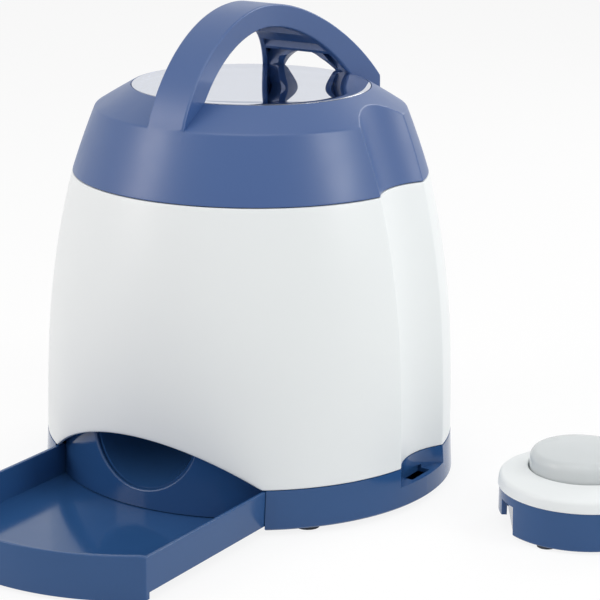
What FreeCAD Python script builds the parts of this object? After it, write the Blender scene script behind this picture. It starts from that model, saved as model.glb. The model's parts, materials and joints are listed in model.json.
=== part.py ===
"""Dog puzzle toy: a battery treat dispenser and its round paw button.

The origin is on the floor under the middle of the dispenser, -Y is the front with the feed tray,
+X is the side where the paw button docks, +Z is up. Lengths are millimetres.
The tray is modelled pulled out, and the paw button stands on the floor beside the dispenser.
"""
import FreeCAD, Part
import math
import os
import re
import Sketcher

V = FreeCAD.Vector

SIZES = {
    # fits shared by the pieces
    "wall": 2.5, "fit": 0.3, "seam": 0.15, "thin": 0.05, "screw": 1.5, "screw_head": 3, "bore": 1.55,
    "overshoot": 2,
    # base pan
    "foot_height": 3, "foot_size": 6, "foot_x": 72, "foot_y": 60.4,
    "base_radius": 105, "base_top_radius": 104, "base_top": 22.6, "base_edge": 0.8, "base_floor": 1.7,
    "bay_half": 62.6, "bay_front": 79.5, "rail": 4, "rail_top": 22.3, "rail_rear": 41, "bay_stop": 38.5,
    "bay_stop_top": 8.5, "groove": 2.6, "groove_low": 9.6, "groove_high": 12.4, "groove_front": 78.3,
    "boss": 5, "boss_front_x": 88.5, "boss_front_y": -34, "boss_rear_x": 62, "boss_rear_y": 72,
    "head_depth": 2.2, "shell_screw_tip": 38, "ledge_floor": 2, "slot_near": 94.6, "slot_far": 101.4,
    "slot_half": 9, "switch_half": 6.3, "switch_low": 10.9, "switch_high": 15.1,
    # body shell
    "low_radius": 103.9, "waist_radius": 102.5, "waist": 72, "top_radius": 89.5, "body_top": 156.6,
    "low_bulge": 1125, "high_bulge": 420, "upright": 51,
    "arch_half": 61, "arch_bulge": 97.3, "shelf_radius": 84.5, "shelf_low": 145.6, "shelf_high": 148,
    "post": 4.2, "post_top": 42, "post_bore_top": 40, "rib_length": 7.6, "rib_width": 2, "rib_top": 40,
    # hollow in the right side for the paw button
    "scoop": 40.7, "scoop_reach": 32.3, "ledge": 13.5, "scoop_top_x": 110, "scoop_mid": 100,
    "scoop_high": 128, "scoop_tip_radius": 88.5,
    # collar, handle and window
    "cover_bottom": 157, "collar_radius": 89.4, "collar_bulge": 420, "ridge_radius": 77.9,
    "ridge": 189.2, "rim": 200, "rim_radius": 59.9, "shoulder_bulge": 400, "crown_inside": 196.2,
    "crown_inner": 60.9, "rebate": 198.2, "window_hole": 56.2, "window_radius": 59.6, "window_low": 198.25,
    "window_top": 200.05, "window_flat": 56, "window_sag": 3, "window_dish": 524.2,
    "skirt_radius": 86.2, "skirt_width": 2.3, "skirt_low": 151.2, "skirt_high": 160,
    "seal_radius": 86.7, "seal_depth": 1, "seal_low": 152, "seal_high": 154.4,
    "handle": 82.4, "handle_y": -2.1, "handle_z": 157.7, "handle_half": 10.2, "handle_turn": 1.2,
    "flare": 143.3, "flare_y": -11.8, "handle_end": 82, "handle_root": 182, "handle_over": 245,
    "flush": 193, "channel": 3, "hollow_front": -26,
    "grip": 68.8, "grip_y": -2.1, "grip_z": 159.9, "relief_radius": 49.8, "relief_top": 209.5,
    "flank_reach": 52, "gap_half": 15.4, "gap_bulge": 17.1, "gap_ring": 2.6, "gap_front": 44,
    "ring_front": 52, "web_front": 56, "web_rear": 59, "mouth_half": 24.5, "mouth_bulge": 28.4,
    "rib_first": 28.5, "rib_step": 7.25, "rib": 1.6,
    # feed tray, with the distance it is pulled out
    "tray_half": 62.2, "tray_wall": 2, "tray_low": 4.9, "tray_floor": 6.4, "tray_side": 22.1,
    "tray_front_radius": 105.4, "tray_front_wall": 2.5, "tray_front_low": 1.6, "tray_front_high": 22.9,
    "tray_rear": 36, "tray_travel": 96, "tray_corner": 3, "runner": 2.4, "runner_front": 18,
    "runner_low": 9.9, "runner_high": 12.1,
    # chute panel and food chute
    "panel_radius": 98.7, "panel_wall": 2.2, "panel_low": 6.9, "panel_high": 78, "panel_half": 59.5,
    "panel_angle": 84, "panel_step": 23.6, "outlet": 30, "outlet_z": 46, "outlet_edge": 1,
    "chute_wall": 2, "chute_inlet": 16, "chute_bend": 22, "chute_bend_y": -61, "chute_bend_z": 67,
    # hopper
    "drop_y": -45, "drop": 13.5, "chamber": 60.5, "chamber_wall": 2.2, "metering_low": 92,
    "metering_top": 94.5, "step_low": 106, "step_high": 109.5, "guard_seat": 111,
    "guard_radius": 63.2, "cone_low": 113.6, "cone_radius": 76.2, "cone_outer": 77.6,
    "flange_low": 148.1, "flange_high": 150.4, "flange_radius": 87.4, "flange_notch_x": 122.8,
    "stand": 4, "stand_x": 26, "stand_front": -6, "stand_rear": 56,
    "guard_inner": 16, "guard_thick": 2, "guard_angle": 38,
    # dosing wheel and gears
    "wheel_radius": 59.7, "wheel_low": 95, "wheel_top": 110, "pockets": 5, "pocket": 13,
    "pocket_ring": 45, "shaft": 4, "shaft_low": 82.6, "hub": 12, "hub_tip": 5, "hub_top": 118,
    "tooth": 1, "tooth_tip": 0.8, "tooth_root": 1.15, "backlash": 0.12, "pressure": 20,
    "wheel_teeth": 24, "wheel_gear_low": 84, "wheel_gear_high": 90,
    "small_teeth": 12, "small_low": 81, "small_high": 90.6, "large_teeth": 44, "large_low": 77,
    "pinion_teeth": 10, "pinion_low": 76.2, "pinion_high": 82,
    "idler_y": 18, "pin": 2, "motor_y": 45, "running": 0.08,
    "plate_low": 72, "plate_high": 74.4, "plate_half": 31, "plate_front": -11, "plate_rear": 61,
    "gear_screw_low": 70, "gear_screw_tip": 88, "motor": 12, "motor_low": 41, "motor_boss": 3,
    "motor_boss_low": 71, "motor_boss_high": 75, "motor_shaft": 1, "motor_shaft_low": 60,
    "motor_shaft_high": 83,
    # batteries, board and switch of the dispenser
    "box_half": 55, "box_front": 48, "box_rear": 84, "box_top": 23.4, "box_wall": 1.8,
    "box_ear": 6, "box_ear_rear": 91.5, "box_ear_top": 12, "door_half": 53, "door_front": 50,
    "door_rear": 82, "door_tab": 7.3, "door_tab_rear": 92.3, "door_screw_y": 87.5, "door_head": 1.2,
    "door_screw_tip": 11,
    "cell": 7.25, "cell_length": 50.5, "cell_z": 13.2, "cell_first": 58.4, "cell_second": 73.6,
    "cell_gap": 0.5, "contact": 0.6, "contact_front": 51, "contact_rear": 81, "contact_rise": 6,
    "board_leg_x": 31, "board_leg_front": 51, "board_leg_rear": 80, "board_half": 34,
    "board_front": 44, "board_rear": 84, "board_low": 28, "board_high": 29.6,
    "receiver_left": -28, "receiver_right": -6, "receiver_front": 47, "receiver_rear": 61,
    "receiver_top": 33, "chip_left": 4, "chip_right": 16, "chip_front": 62, "chip_rear": 74,
    "chip_top": 31.2, "capacitor": 4, "capacitor_x": 24, "capacitor_y": 52, "capacitor_top": 38.6,
    "buzzer": 8.5, "buzzer_x": -20, "buzzer_y": 74, "buzzer_top": 36,
    "slider_half": 4, "slider_travel": 4, "slider_inner": 99.6, "slider_outer": 104.9,
    "switch_body_half": 10, "switch_body_front": 93, "switch_body_rear": 99.2, "switch_ear": 101.3,
    "switch_ear_width": 2, "switch_margin": 3,
    # paw button unit, in its own frame with the docking tongue towards -X
    "unit_x": 182.4, "unit_y": 11.9, "unit_turn": 30,
    "unit_foot": 1.5, "unit_foot_size": 4.5, "unit_foot_ring": 33.5, "unit_foot_angle": 57,
    "unit_edge": 0.5, "skin": 2.2, "unit_radius": 39.1, "unit_top_radius": 39.5, "unit_top": 20.4,
    "unit_floor": 3.3,
    "notch_x": 33.2, "notch_half": 19.8, "notch_top": 16, "notch_wall": 2, "notch_roof": 17.8,
    "tongue_half": 8.5, "tongue_low": 8, "tongue_radius": 39.4,
    "unit_boss": 3.5, "unit_boss_ring": 31, "unit_boss_angle": 125, "unit_boss_top": 18,
    "unit_screw": 1.2, "unit_bore": 1.25, "unit_head": 2.3, "unit_head_depth": 1.7,
    "pillar": 2, "pillar_x": 20, "pillar_y": 17, "pillar_top": 16.5,
    "unit_door_half": 13, "unit_door_front": -25, "unit_door_rear": 30, "unit_door_screw": 27,
    "unit_door_head": 0.5, "unit_door_tip": 6, "unit_door_bore": 7, "unit_screw_tip": 23.4,
    "bridge_half": 15, "bridge_front": 24.4, "bridge_top": 8,
    "ring_low": 20.6, "ring_radius": 40.1, "ring_edge_radius": 39.6, "ring_edge": 25.2,
    "ring_round": 1.3, "ring_round_radius": 38.6, "ring_round_z": 26.5, "ring_hole": 25.9,
    "ring_mouth": 26.5, "ring_top": 30.3, "ring_lip": 29.9, "ring_under": 27.6, "ring_rest": 24.4,
    "ring_inner": 37, "ring_post": 3, "ring_post_low": 18.2, "ring_post_top": 25.6,
    "button_flange": 27.8, "button_low": 24.9, "button_flange_top": 26.7, "button_radius": 25.2,
    "button_shoulder": 34.6, "button_round": 4.5, "button_turn_x": 21.48, "button_turn_z": 39.03,
    "button_turn_inner": 21.18, "button_top": 40.9, "button_skin": 1.8, "button_seat": 6.2,
    "button_seat_z": 30, "button_post": 2.5, "button_post_z": 25.8,
    "spring": 5.4, "spring_wire": 0.5, "spring_low": 18.2, "spring_high": 29.9, "spring_turns": 4,
    "disc": 26, "disc_low": 16.55, "disc_high": 18.1, "tact": 3, "tact_high": 21.6,
    "plunger": 1.6, "plunger_high": 22.5,
    "small_cell": 5.25, "small_cell_half": 22.25, "small_cell_x": 5.6, "small_cell_z": 9.2,
    "small_contact": 9.85, "small_contact_rise": 4,
}

doc = FreeCAD.newDocument("DogPuzzleToy")
sheet = doc.addObject("Spreadsheet::Sheet", "Sizes")
for row, (alias, size) in enumerate(SIZES.items(), 1):
    sheet.set(f"A{row}", alias)
    sheet.set(f"B{row}", str(size))
    sheet.setAlias(f"B{row}", alias)
doc.recompute()

NODES = []


def sized(text):
    """Return the expression with every size name pointing at its cell."""
    def cell(word):
        return "Sizes." + word.group() if word.group() in SIZES else word.group()
    return re.sub(r"[a-z_]+", cell, str(text))


def number(text):
    return float(sheet.evalExpression(sized(text)))


def node(label, item):
    """Name a finished piece."""
    item.Label = label
    NODES.append(item)
    return item


# Sketches and PartDesign features

def origin_plane(body, role):
    return next(item for item in body.Origin.OriginFeatures if item.Role == role)


def new_body(name):
    return doc.addObject("PartDesign::Body", name)


def new_sketch(body, role, offset):
    sketch = body.newObject("Sketcher::SketchObject", "Outline")
    sketch.AttachmentSupport = (origin_plane(body, role), [""])
    sketch.MapMode = "FlatFace"
    sketch.setExpression("AttachmentOffset.Base.z", sized(offset))
    return sketch


def arc(start, end, radius):
    """Arc from start to end, with its centre on the left of the way when radius is positive."""
    chord = end - start
    left = V(-chord.y, chord.x, 0).normalize()
    reach = math.copysign(math.sqrt(radius ** 2 - chord.Length ** 2 / 4), radius)
    centre = (start + end) * 0.5 + left * reach
    ends = (start, end) if radius > 0 else (end, start)
    turns = [math.atan2(point.y - centre.y, point.x - centre.x) for point in ends]
    return Part.ArcOfCircle(Part.Circle(centre, V(0, 0, 1), abs(radius)), *turns)


def add_loop(sketch, corners):
    """Closed loop of corners (x, y) or (x, y, radius of the arc to the next corner)."""
    first = sketch.GeometryCount
    count = len(corners)
    spots = [V(number(corner[0]), number(corner[1]), 0) for corner in corners]
    starts = []
    for index, corner in enumerate(corners):
        here, there = spots[index], spots[(index + 1) % count]
        bent = len(corner) == 3
        sketch.addGeometry(arc(here, there, number(corner[2])) if bent else Part.LineSegment(here, there))
        starts.append(2 if bent and number(corner[2]) < 0 else 1)
    for index in range(count):
        after = (index + 1) % count
        pair = (first + index, 3 - starts[index], first + after, starts[after])
        sketch.addConstraint(Sketcher.Constraint("Coincident", *pair))
    for index, corner in enumerate(corners):
        bind(sketch, "DistanceX", corner[0], first + index, starts[index])
        bind(sketch, "DistanceY", corner[1], first + index, starts[index])
        if len(corner) == 3:
            rule = sketch.addConstraint(
                Sketcher.Constraint("Radius", first + index, abs(number(corner[2]))))
            sketch.setExpression(f"Constraints[{rule}]", sized(f"abs({corner[2]})"))


def bind(sketch, kind, text, item, end):
    """Hold one end of a sketch line at a distance from the sketch's origin."""
    rule = sketch.addConstraint(Sketcher.Constraint(kind, -1, 1, item, end, number(text)))
    sketch.setExpression(f"Constraints[{rule}]", sized(text))


def add_circle(sketch, x, y, radius):
    centre = V(number(x), number(y), 0)
    item = sketch.addGeometry(Part.Circle(centre, V(0, 0, 1), number(radius)))
    bind(sketch, "DistanceX", x, item, 3)
    bind(sketch, "DistanceY", y, item, 3)
    rule = sketch.addConstraint(Sketcher.Constraint("Radius", item, number(radius)))
    sketch.setExpression(f"Constraints[{rule}]", sized(radius))


def draw(sketch, loops):
    """Draw loops of corners, and circles written as (x, y, radius) tuples."""
    for loop in loops:
        if isinstance(loop, tuple):
            add_circle(sketch, *loop)
        else:
            add_loop(sketch, loop)


def pad(body, role, loops, low, high):
    """Fill the loops between two heights along the plane's axis."""
    sketch = new_sketch(body, role, f"-({high})" if role == "XZ_Plane" else low)
    draw(sketch, loops)
    feature = body.newObject("PartDesign::Pad", "Pad")
    feature.Profile = sketch
    feature.setExpression("Length", sized(f"({high}) - ({low})"))
    return feature


def pocket(body, role, loops, low, high):
    """Cut the loops between two heights along the plane's axis."""
    sketch = new_sketch(body, role, f"-({low})" if role == "XZ_Plane" else high)
    draw(sketch, loops)
    feature = body.newObject("PartDesign::Pocket", "Pocket")
    feature.Profile = sketch
    feature.setExpression("Length", sized(f"({high}) - ({low})"))
    return feature


def turned(name, corners):
    """Body turned about Z from an outline of (radius, height) corners."""
    body = new_body(name)
    sketch = new_sketch(body, "XZ_Plane", 0)
    draw(sketch, [corners])
    feature = body.newObject("PartDesign::Revolution", "Turn")
    feature.Profile = sketch
    feature.ReferenceAxis = (sketch, ["V_Axis"])
    feature.Angle = 360
    return body


def fillet(body, radius, wanted):
    """Round the edges that pass the test."""
    doc.recompute()
    base = body.Tip
    names = [f"Edge{place}" for place, edge in enumerate(base.Shape.Edges, 1) if wanted(edge)]
    feature = body.newObject("PartDesign::Fillet", "Fillet")
    feature.Base = (base, names)
    feature.setExpression("Radius", sized(radius))


def rectangle(x_low, x_high, y_low, y_high):
    return [(x_low, y_low), (x_high, y_low), (x_high, y_high), (x_low, y_high)]


# Part primitives and booleans

def box(x_low, x_high, y_low, y_high, z_low, z_high):
    item = doc.addObject("Part::Box", "Block")
    spans = (("x", "Length", x_low, x_high), ("y", "Width", y_low, y_high), ("z", "Height", z_low, z_high))
    for axis, side, low, high in spans:
        item.setExpression(side, sized(f"({high}) - ({low})"))
        item.setExpression(f"Placement.Base.{axis}", sized(low))
    return item


def cylinder(radius, low, high, x=0, y=0):
    item = doc.addObject("Part::Cylinder", "Round")
    item.setExpression("Radius", sized(radius))
    item.setExpression("Height", sized(f"({high}) - ({low})"))
    for axis, place in (("x", x), ("y", y), ("z", low)):
        item.setExpression(f"Placement.Base.{axis}", sized(place))
    return item


def lying(radius, low, high, across, height, axis):
    """Cylinder along X or Y between two ends."""
    item = doc.addObject("Part::Cylinder", "Lying")
    turn = FreeCAD.Rotation(V(0, 1, 0), 90) if axis == "X" else FreeCAD.Rotation(V(1, 0, 0), -90)
    item.Placement = FreeCAD.Placement(V(0, 0, 0), turn)
    item.setExpression("Radius", sized(radius))
    item.setExpression("Height", sized(f"({high}) - ({low})"))
    item.setExpression("Placement.Base.x", sized(low if axis == "X" else across))
    item.setExpression("Placement.Base.y", sized(across if axis == "X" else low))
    item.setExpression("Placement.Base.z", sized(height))
    return item


def fuse(*items):
    item = doc.addObject("Part::MultiFuse", "Union")
    item.Shapes = list(items)
    return item


def common(first, second):
    item = doc.addObject("Part::Common", "Overlap")
    item.Base = first
    item.Tool = second
    return item


def cut(base, *tools):
    item = doc.addObject("Part::Cut", "Cut")
    item.Base = base
    item.Tool = tools[0] if len(tools) == 1 else fuse(*tools)
    return item


def group(items):
    """Separate solids of one node."""
    item = doc.addObject("Part::Compound", "Group")
    item.Links = list(items)
    return item


def loft(circles, ruled):
    """Solid through circles (radius, x, y, z, tilt about X)."""
    sections = []
    for radius, x, y, z, tilt in circles:
        ring = doc.addObject("Part::Circle", "Section")
        ring.Placement = FreeCAD.Placement(V(0, 0, 0), FreeCAD.Rotation(V(1, 0, 0), tilt))
        ring.setExpression("Radius", sized(radius))
        for axis, place in (("x", x), ("y", y), ("z", z)):
            ring.setExpression(f"Placement.Base.{axis}", sized(place))
        sections.append(ring)
    item = doc.addObject("Part::Loft", "Loft")
    item.Sections = sections
    item.Solid = True
    item.Ruled = ruled
    return item


def screw(x, y, head_low, head_high, tip, radius="screw", head="screw_head"):
    """Screw driven upwards, with its head below."""
    return fuse(cylinder(head, head_low, head_high, x, y), cylinder(radius, head_high, tip, x, y))


# The hollow that the paw button docks in

def side_radius(height):
    """Radius of the body's upper side at a height."""
    drop = "sqrt(high_bulge ^ 2 - (body_top - upright) ^ 2)"
    return f"(top_radius - {drop} + sqrt(high_bulge ^ 2 - ({height} - upright) ^ 2))"


def body_scoop(growth):
    """Round scoop that stays a constant depth behind the curved side of the body."""
    stations = [("low_radius", "base_top - overshoot"), ("low_radius", "base_top"),
                ("waist_radius", "waist"), (side_radius("scoop_mid"), "scoop_mid"),
                (side_radius("scoop_high"), "scoop_high"), ("top_radius", "body_top"),
                ("scoop_tip_radius", "cover_bottom + overshoot")]
    circles = [(f"scoop + {growth}", f"{radius} + scoop_reach", 0, z, 0) for radius, z in stations]
    return loft(circles, False)


def cover_scoop(growth):
    """The same scoop where it leans in through the collar."""
    lean = "(top_radius + scoop_reach - scoop_top_x) / (ridge - body_top)"
    circles = []
    for z in ("body_top", "rim + overshoot"):
        x = f"top_radius + scoop_reach - {lean} * ({z} - body_top)"
        circles.append((f"scoop + {growth}", x, 0, z, 0))
    return loft(circles, True)


# Base pan

SHELL_SCREWS = [("boss_front_x", "boss_front_y"), ("-boss_front_x", "boss_front_y"),
                ("boss_rear_x", "boss_rear_y"), ("-boss_rear_x", "boss_rear_y")]


def base_pan():
    floor_top = "foot_height + base_floor"
    outer = turned("BaseOuter", [
        (0, "foot_height"), ("base_radius - base_edge", "foot_height"),
        ("base_radius", "foot_height + base_edge"), ("base_top_radius", "base_top"), (0, "base_top")])
    cavity = turned("BaseCavity", [
        (0, floor_top), ("base_radius - wall", floor_top),
        ("base_top_radius - wall", "base_top + overshoot"), (0, "base_top + overshoot")])
    dock_x = "low_radius + scoop_reach"
    dock = cylinder("scoop", "ledge", "base_top + overshoot", dock_x)
    jacket = cylinder("scoop + wall", "ledge - ledge_floor", "base_top + overshoot * 2", dock_x)
    shell = cut(outer, cut(cavity, jacket))
    rails = [box(f"{side} - rail / 2", f"{side} + rail / 2", "-base_radius", "rail_rear",
                 "foot_height", "rail_top") for side in ("bay_half + rail / 2", "-bay_half - rail / 2")]
    stop = box("-bay_half - rail", "bay_half + rail", "bay_stop", "rail_rear", "foot_height",
               "bay_stop_top")
    bosses = [cylinder("boss", "foot_height", "base_top", x, y) for x, y in SHELL_SCREWS]
    solid = fuse(shell, common(fuse(*rails), outer), stop, *bosses)
    holes = [box("-bay_half", "bay_half", "-base_radius - overshoot", "-bay_front", 0,
                 "base_top + overshoot")]
    for low, high in (("bay_half - overshoot", "bay_half + groove"),
                      ("-bay_half - groove", "-bay_half + overshoot")):
        holes.append(box(low, high, "-groove_front", "rail_rear + overshoot", "groove_low", "groove_high"))
    for x, y in SHELL_SCREWS:
        holes.append(cylinder("bore", 0, "base_top + overshoot", x, y))
        holes.append(cylinder("screw_head + fit", 0, "foot_height + head_depth", x, y))
    holes.append(box("slot_near", "slot_far", "-slot_half", "slot_half", "ledge - ledge_floor * 2",
                     "ledge + overshoot"))
    floor_cut = floor_top + " + thin"
    holes.append(box("-door_half", "door_half", "door_front", "door_rear", 0, floor_cut))
    holes.append(box("-door_tab", "door_tab", "door_rear - overshoot", "door_tab_rear", 0, floor_cut))
    holes.append(box("-switch_half", "switch_half", "base_radius - wall * 3", "base_radius + overshoot",
                     "switch_low", "switch_high"))
    node("base_pan", cut(solid, dock, *holes))


def feet():
    pads = [cylinder("foot_size", 0, "foot_height", f"{side_x} * foot_x", f"{side_y} * foot_y")
            for side_x in (-1, 1) for side_y in (-1, 1)]
    node("feet", group(pads))


def shell_screws():
    top = "foot_height + head_depth"
    screws = [screw(x, y, "foot_height + seam", top, "shell_screw_tip") for x, y in SHELL_SCREWS]
    node("shell_screws", group(screws))


# Body shell

def rib_box(x, y):
    """Rib from a screw post out to the shell."""
    item = doc.addObject("Part::Box", "Rib")
    turn = math.degrees(math.atan2(number(y), number(x)))
    item.Placement = FreeCAD.Placement(V(0, 0, 0), FreeCAD.Rotation(V(0, 0, 1), turn))
    item.setExpression("Length", sized("rib_length"))
    item.setExpression("Width", sized("rib_width"))
    item.setExpression("Height", sized("rib_top - base_top - seam"))
    item.setExpression("Placement.Base.x", sized(x))
    item.setExpression("Placement.Base.y", sized(y))
    item.setExpression("Placement.Base.z", sized("base_top + seam"))
    return item


def body_shell():
    bottom = "base_top + seam"
    outer = turned("BodyOuter", [
        (0, bottom), ("low_radius", bottom, "low_bulge"), ("waist_radius", "waist", "high_bulge"),
        ("top_radius", "body_top"), (0, "body_top")])
    cavity = turned("BodyCavity", [
        (0, "base_top - overshoot"), ("low_radius - wall", "base_top - overshoot", "low_bulge"),
        ("waist_radius - wall", "waist", "high_bulge"), ("top_radius - wall", "body_top"),
        ("top_radius - wall", "body_top + overshoot"), (0, "body_top + overshoot")])
    shelf = turned("Shelf", [
        ("shelf_radius", "shelf_low"), ("top_radius", "shelf_low"), ("top_radius", "shelf_high"),
        ("shelf_radius", "shelf_high")])
    shell = cut(outer, cut(cavity, body_scoop("wall")))
    posts = [cylinder("post", bottom, "post_top", x, y) for x, y in SHELL_SCREWS]
    ribs = [rib_box(x, y) for x, y in SHELL_SCREWS]
    bores = [cylinder("bore", 0, "post_bore_top", x, y) for x, y in SHELL_SCREWS]
    arch = new_body("Arch")
    pad(arch, "XZ_Plane", [[
        ("-arch_half", "base_top - overshoot"), ("arch_half", "base_top - overshoot"),
        ("arch_half", "base_top", "arch_bulge"), ("-arch_half", "base_top")]],
        "-base_radius - overshoot", "-arch_half")
    solid = fuse(shell, shelf, *posts, *ribs)
    node("body_shell", cut(solid, body_scoop("0"), arch, *bores))


# Cover: collar with handle, window and seal

def flanked(name, outline, inset):
    """Band of a side outline between two flanks, straight in front and flaring out behind."""
    body = new_body(name)
    pad(body, "YZ_Plane", [outline], "-flank_reach", "flank_reach")
    rear = f"(handle_half + flare - sqrt((flare + {inset}) ^ 2 - (handle_end - flare_y) ^ 2))"
    for side in (1, -1):
        edge = f"{side} * (handle_half - {inset})"
        outside = f"{side} * (flank_reach + overshoot)"
        pocket(body, "XY_Plane", [[
            (edge, "-handle_end - overshoot"), (edge, "flare_y", f"{-side} * (flare + {inset})"),
            (f"{side} * {rear}", "handle_end"), (outside, "handle_end"),
            (outside, "-handle_end - overshoot")]], "handle_root - overshoot", "handle_over")
    return body


def archway(half, bulge, growth, front):
    """Round-topped passage from the front plane out through the back of the handle."""
    body = new_body("Archway")
    wide = f"({half} + {growth})"
    foot = f"rim - sqrt({bulge} ^ 2 - {half} ^ 2) + sqrt(({bulge} + {growth}) ^ 2 - {wide} ^ 2)"
    pad(body, "XZ_Plane", [[
        (f"-{wide}", "handle_root - overshoot"), (wide, "handle_root - overshoot"),
        (wide, foot, f"{bulge} + {growth}"), (f"-{wide}", foot)]], front, "handle_end + overshoot")
    return body


def handle_reach(radius, height):
    """Half the width of the handle's side circle at a height."""
    return f"sqrt({radius} ^ 2 - ({height} - handle_z) ^ 2)"


def handle_solid():
    """Arched handle, hollow below, with ribs across the hollow and a gap between its rear legs."""
    band = flanked("Handle", [
        ("-ridge_radius", "handle_root"),
        (f"handle_y + {handle_reach('handle', 'handle_root')}", "handle_root", "handle"),
        (f"handle_y - {handle_reach('handle', 'flush')}", "flush"),
        ("-ridge_radius - seam", "ridge")], "0")
    inside = "(handle - channel)"
    hollow = flanked("HandleHollow", [
        ("hollow_front", "handle_z"),
        (f"handle_y + {handle_reach(inside, 'handle_root')}", "handle_root", inside),
        ("hollow_front", f"handle_z + sqrt({inside} ^ 2 - (hollow_front - handle_y) ^ 2)")], "channel")
    ribs = [box("-flank_reach", "flank_reach", f"rib_first + rib_step * {place}",
                f"rib_first + rib_step * {place} + rib", "handle_root", "handle_over")
            for place in range(3)]
    ring = archway("gap_half", "gap_bulge", "gap_ring", "ring_front")
    web = archway("mouth_half", "mouth_bulge", "channel", "web_front")
    grip = new_body("Grip")
    pad(grip, "YZ_Plane", [("grip_y", "grip_z", "grip")], "-flank_reach", "flank_reach")
    relief = turned("Relief", [
        (0, "rim"), ("rim_radius", "rim"), ("relief_radius", "relief_top"), (0, "relief_top")])
    gap = archway("gap_half", "gap_bulge", "0", "gap_front")
    mouth = archway("mouth_half", "mouth_bulge", "0", "web_rear")
    solid = cut(band, cut(hollow, ring, web, *ribs), grip, relief, gap, mouth)
    envelope = turned("Envelope", [
        (0, "cover_bottom"), ("collar_radius + seam", "cover_bottom", "collar_bulge"),
        ("ridge_radius + seam", "ridge"), ("ridge_radius + seam", "handle_over"), (0, "handle_over")])
    handle = common(solid, envelope)
    handle.Placement = FreeCAD.Placement(V(0, 0, 0), FreeCAD.Rotation(V(0, 0, 1), number("handle_turn")))
    return handle


def collar_handle():
    outer = turned("CollarOuter", [
        (0, "cover_bottom"), ("collar_radius", "cover_bottom", "collar_bulge"),
        ("ridge_radius", "ridge", "shoulder_bulge"), ("rim_radius", "rim"), (0, "rim")])
    cavity = turned("CollarCavity", [
        (0, "cover_bottom - overshoot"), ("collar_radius - wall", "cover_bottom - overshoot"),
        ("collar_radius - wall", "cover_bottom"), ("ridge_radius - wall", "ridge - wall"),
        ("crown_inner", "crown_inside"), (0, "crown_inside")])
    hollow = cut(cavity, cover_scoop("wall"))
    opening = cylinder("window_hole", "crown_inside - overshoot", "rim + overshoot")
    rebate = cylinder("rim_radius", "rebate", "rim + fit")
    shell = cut(fuse(outer, handle_solid()), hollow, opening, rebate, cover_scoop("0"))
    skirt = turned("Skirt", [
        ("skirt_radius - skirt_width", "skirt_low"), ("skirt_radius", "skirt_low"),
        ("skirt_radius", "seal_low"), ("skirt_radius - seal_depth", "seal_low"),
        ("skirt_radius - seal_depth", "seal_high"), ("skirt_radius", "seal_high"),
        ("skirt_radius", "skirt_high"), ("skirt_radius - skirt_width", "skirt_high")])
    node("collar_handle", fuse(shell, cut(skirt, skirt_notch())))


def skirt_notch():
    """Room for the hollow in a ring that plugs into the body."""
    return cylinder("scoop + wall + fit * 2", "shelf_low", "rim", "top_radius + scoop_reach")


def window():
    """Clear disc, dished inside its flat rim."""
    node("window", turned("Window", [
        (0, "window_low - window_sag", "window_dish"), ("window_flat", "window_low"),
        ("window_radius", "window_low"), ("window_radius", "window_top"),
        ("window_flat", "window_top", "-window_dish"), (0, "window_top - window_sag")]))


def cover_seal():
    ring = turned("Seal", [
        ("skirt_radius - seal_depth + thin", "seal_low + thin"), ("seal_radius", "seal_low + thin"),
        ("seal_radius", "seal_high - thin"), ("skirt_radius - seal_depth + thin", "seal_high - thin")])
    node("cover_seal", cut(ring, skirt_notch()))


# Feed tray

def feed_tray():
    body = new_body("Tray")
    outer_y = "-tray_travel - sqrt(tray_front_radius ^ 2 - tray_half ^ 2)"
    inner = "tray_front_radius - tray_front_wall"
    inner_y = f"-tray_travel - sqrt(({inner}) ^ 2 - tray_half ^ 2)"
    rear = "tray_rear - tray_travel"
    pad(body, "XY_Plane", [[
        ("tray_half", rear), ("-tray_half", rear), ("-tray_half", outer_y, "tray_front_radius"),
        ("tray_half", outer_y)]], "tray_low", "tray_side")
    pad(body, "XY_Plane", [[
        ("tray_half", inner_y), ("tray_half", outer_y, "-tray_front_radius"), ("-tray_half", outer_y),
        ("-tray_half", inner_y, inner)]], "tray_front_low", "tray_front_high")
    half = "tray_half - tray_wall"
    pool_y = f"-tray_travel - sqrt(({inner}) ^ 2 - ({half}) ^ 2)"
    pocket(body, "XY_Plane", [[
        (half, f"{rear} + overshoot"), (f"-({half})", f"{rear} + overshoot"),
        (f"-({half})", pool_y, inner), (half, pool_y)]], "tray_floor", "tray_front_high + overshoot")
    for low, high in (("tray_half - tray_wall / 2", "tray_half + runner"),
                      ("-tray_half - runner", "-tray_half + tray_wall / 2")):
        pad(body, "XY_Plane", [rectangle(low, high, "runner_front - tray_travel", rear)],
            "runner_low", "runner_high")
    for side in (1, -1):
        ramp = [(f"{side} * (tray_half - tray_corner)", "tray_front_high"),
                (f"{side} * tray_half", "tray_side"),
                (f"{side} * (tray_half + overshoot)", "tray_side"),
                (f"{side} * (tray_half + overshoot)", "tray_front_high + overshoot"),
                (f"{side} * (tray_half - tray_corner)", "tray_front_high + overshoot")]
        pocket(body, "XZ_Plane", [ramp], "-tray_travel - base_radius - overshoot", "-tray_travel")
    node("feed_tray", body)


# Chute panel and food chute

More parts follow.
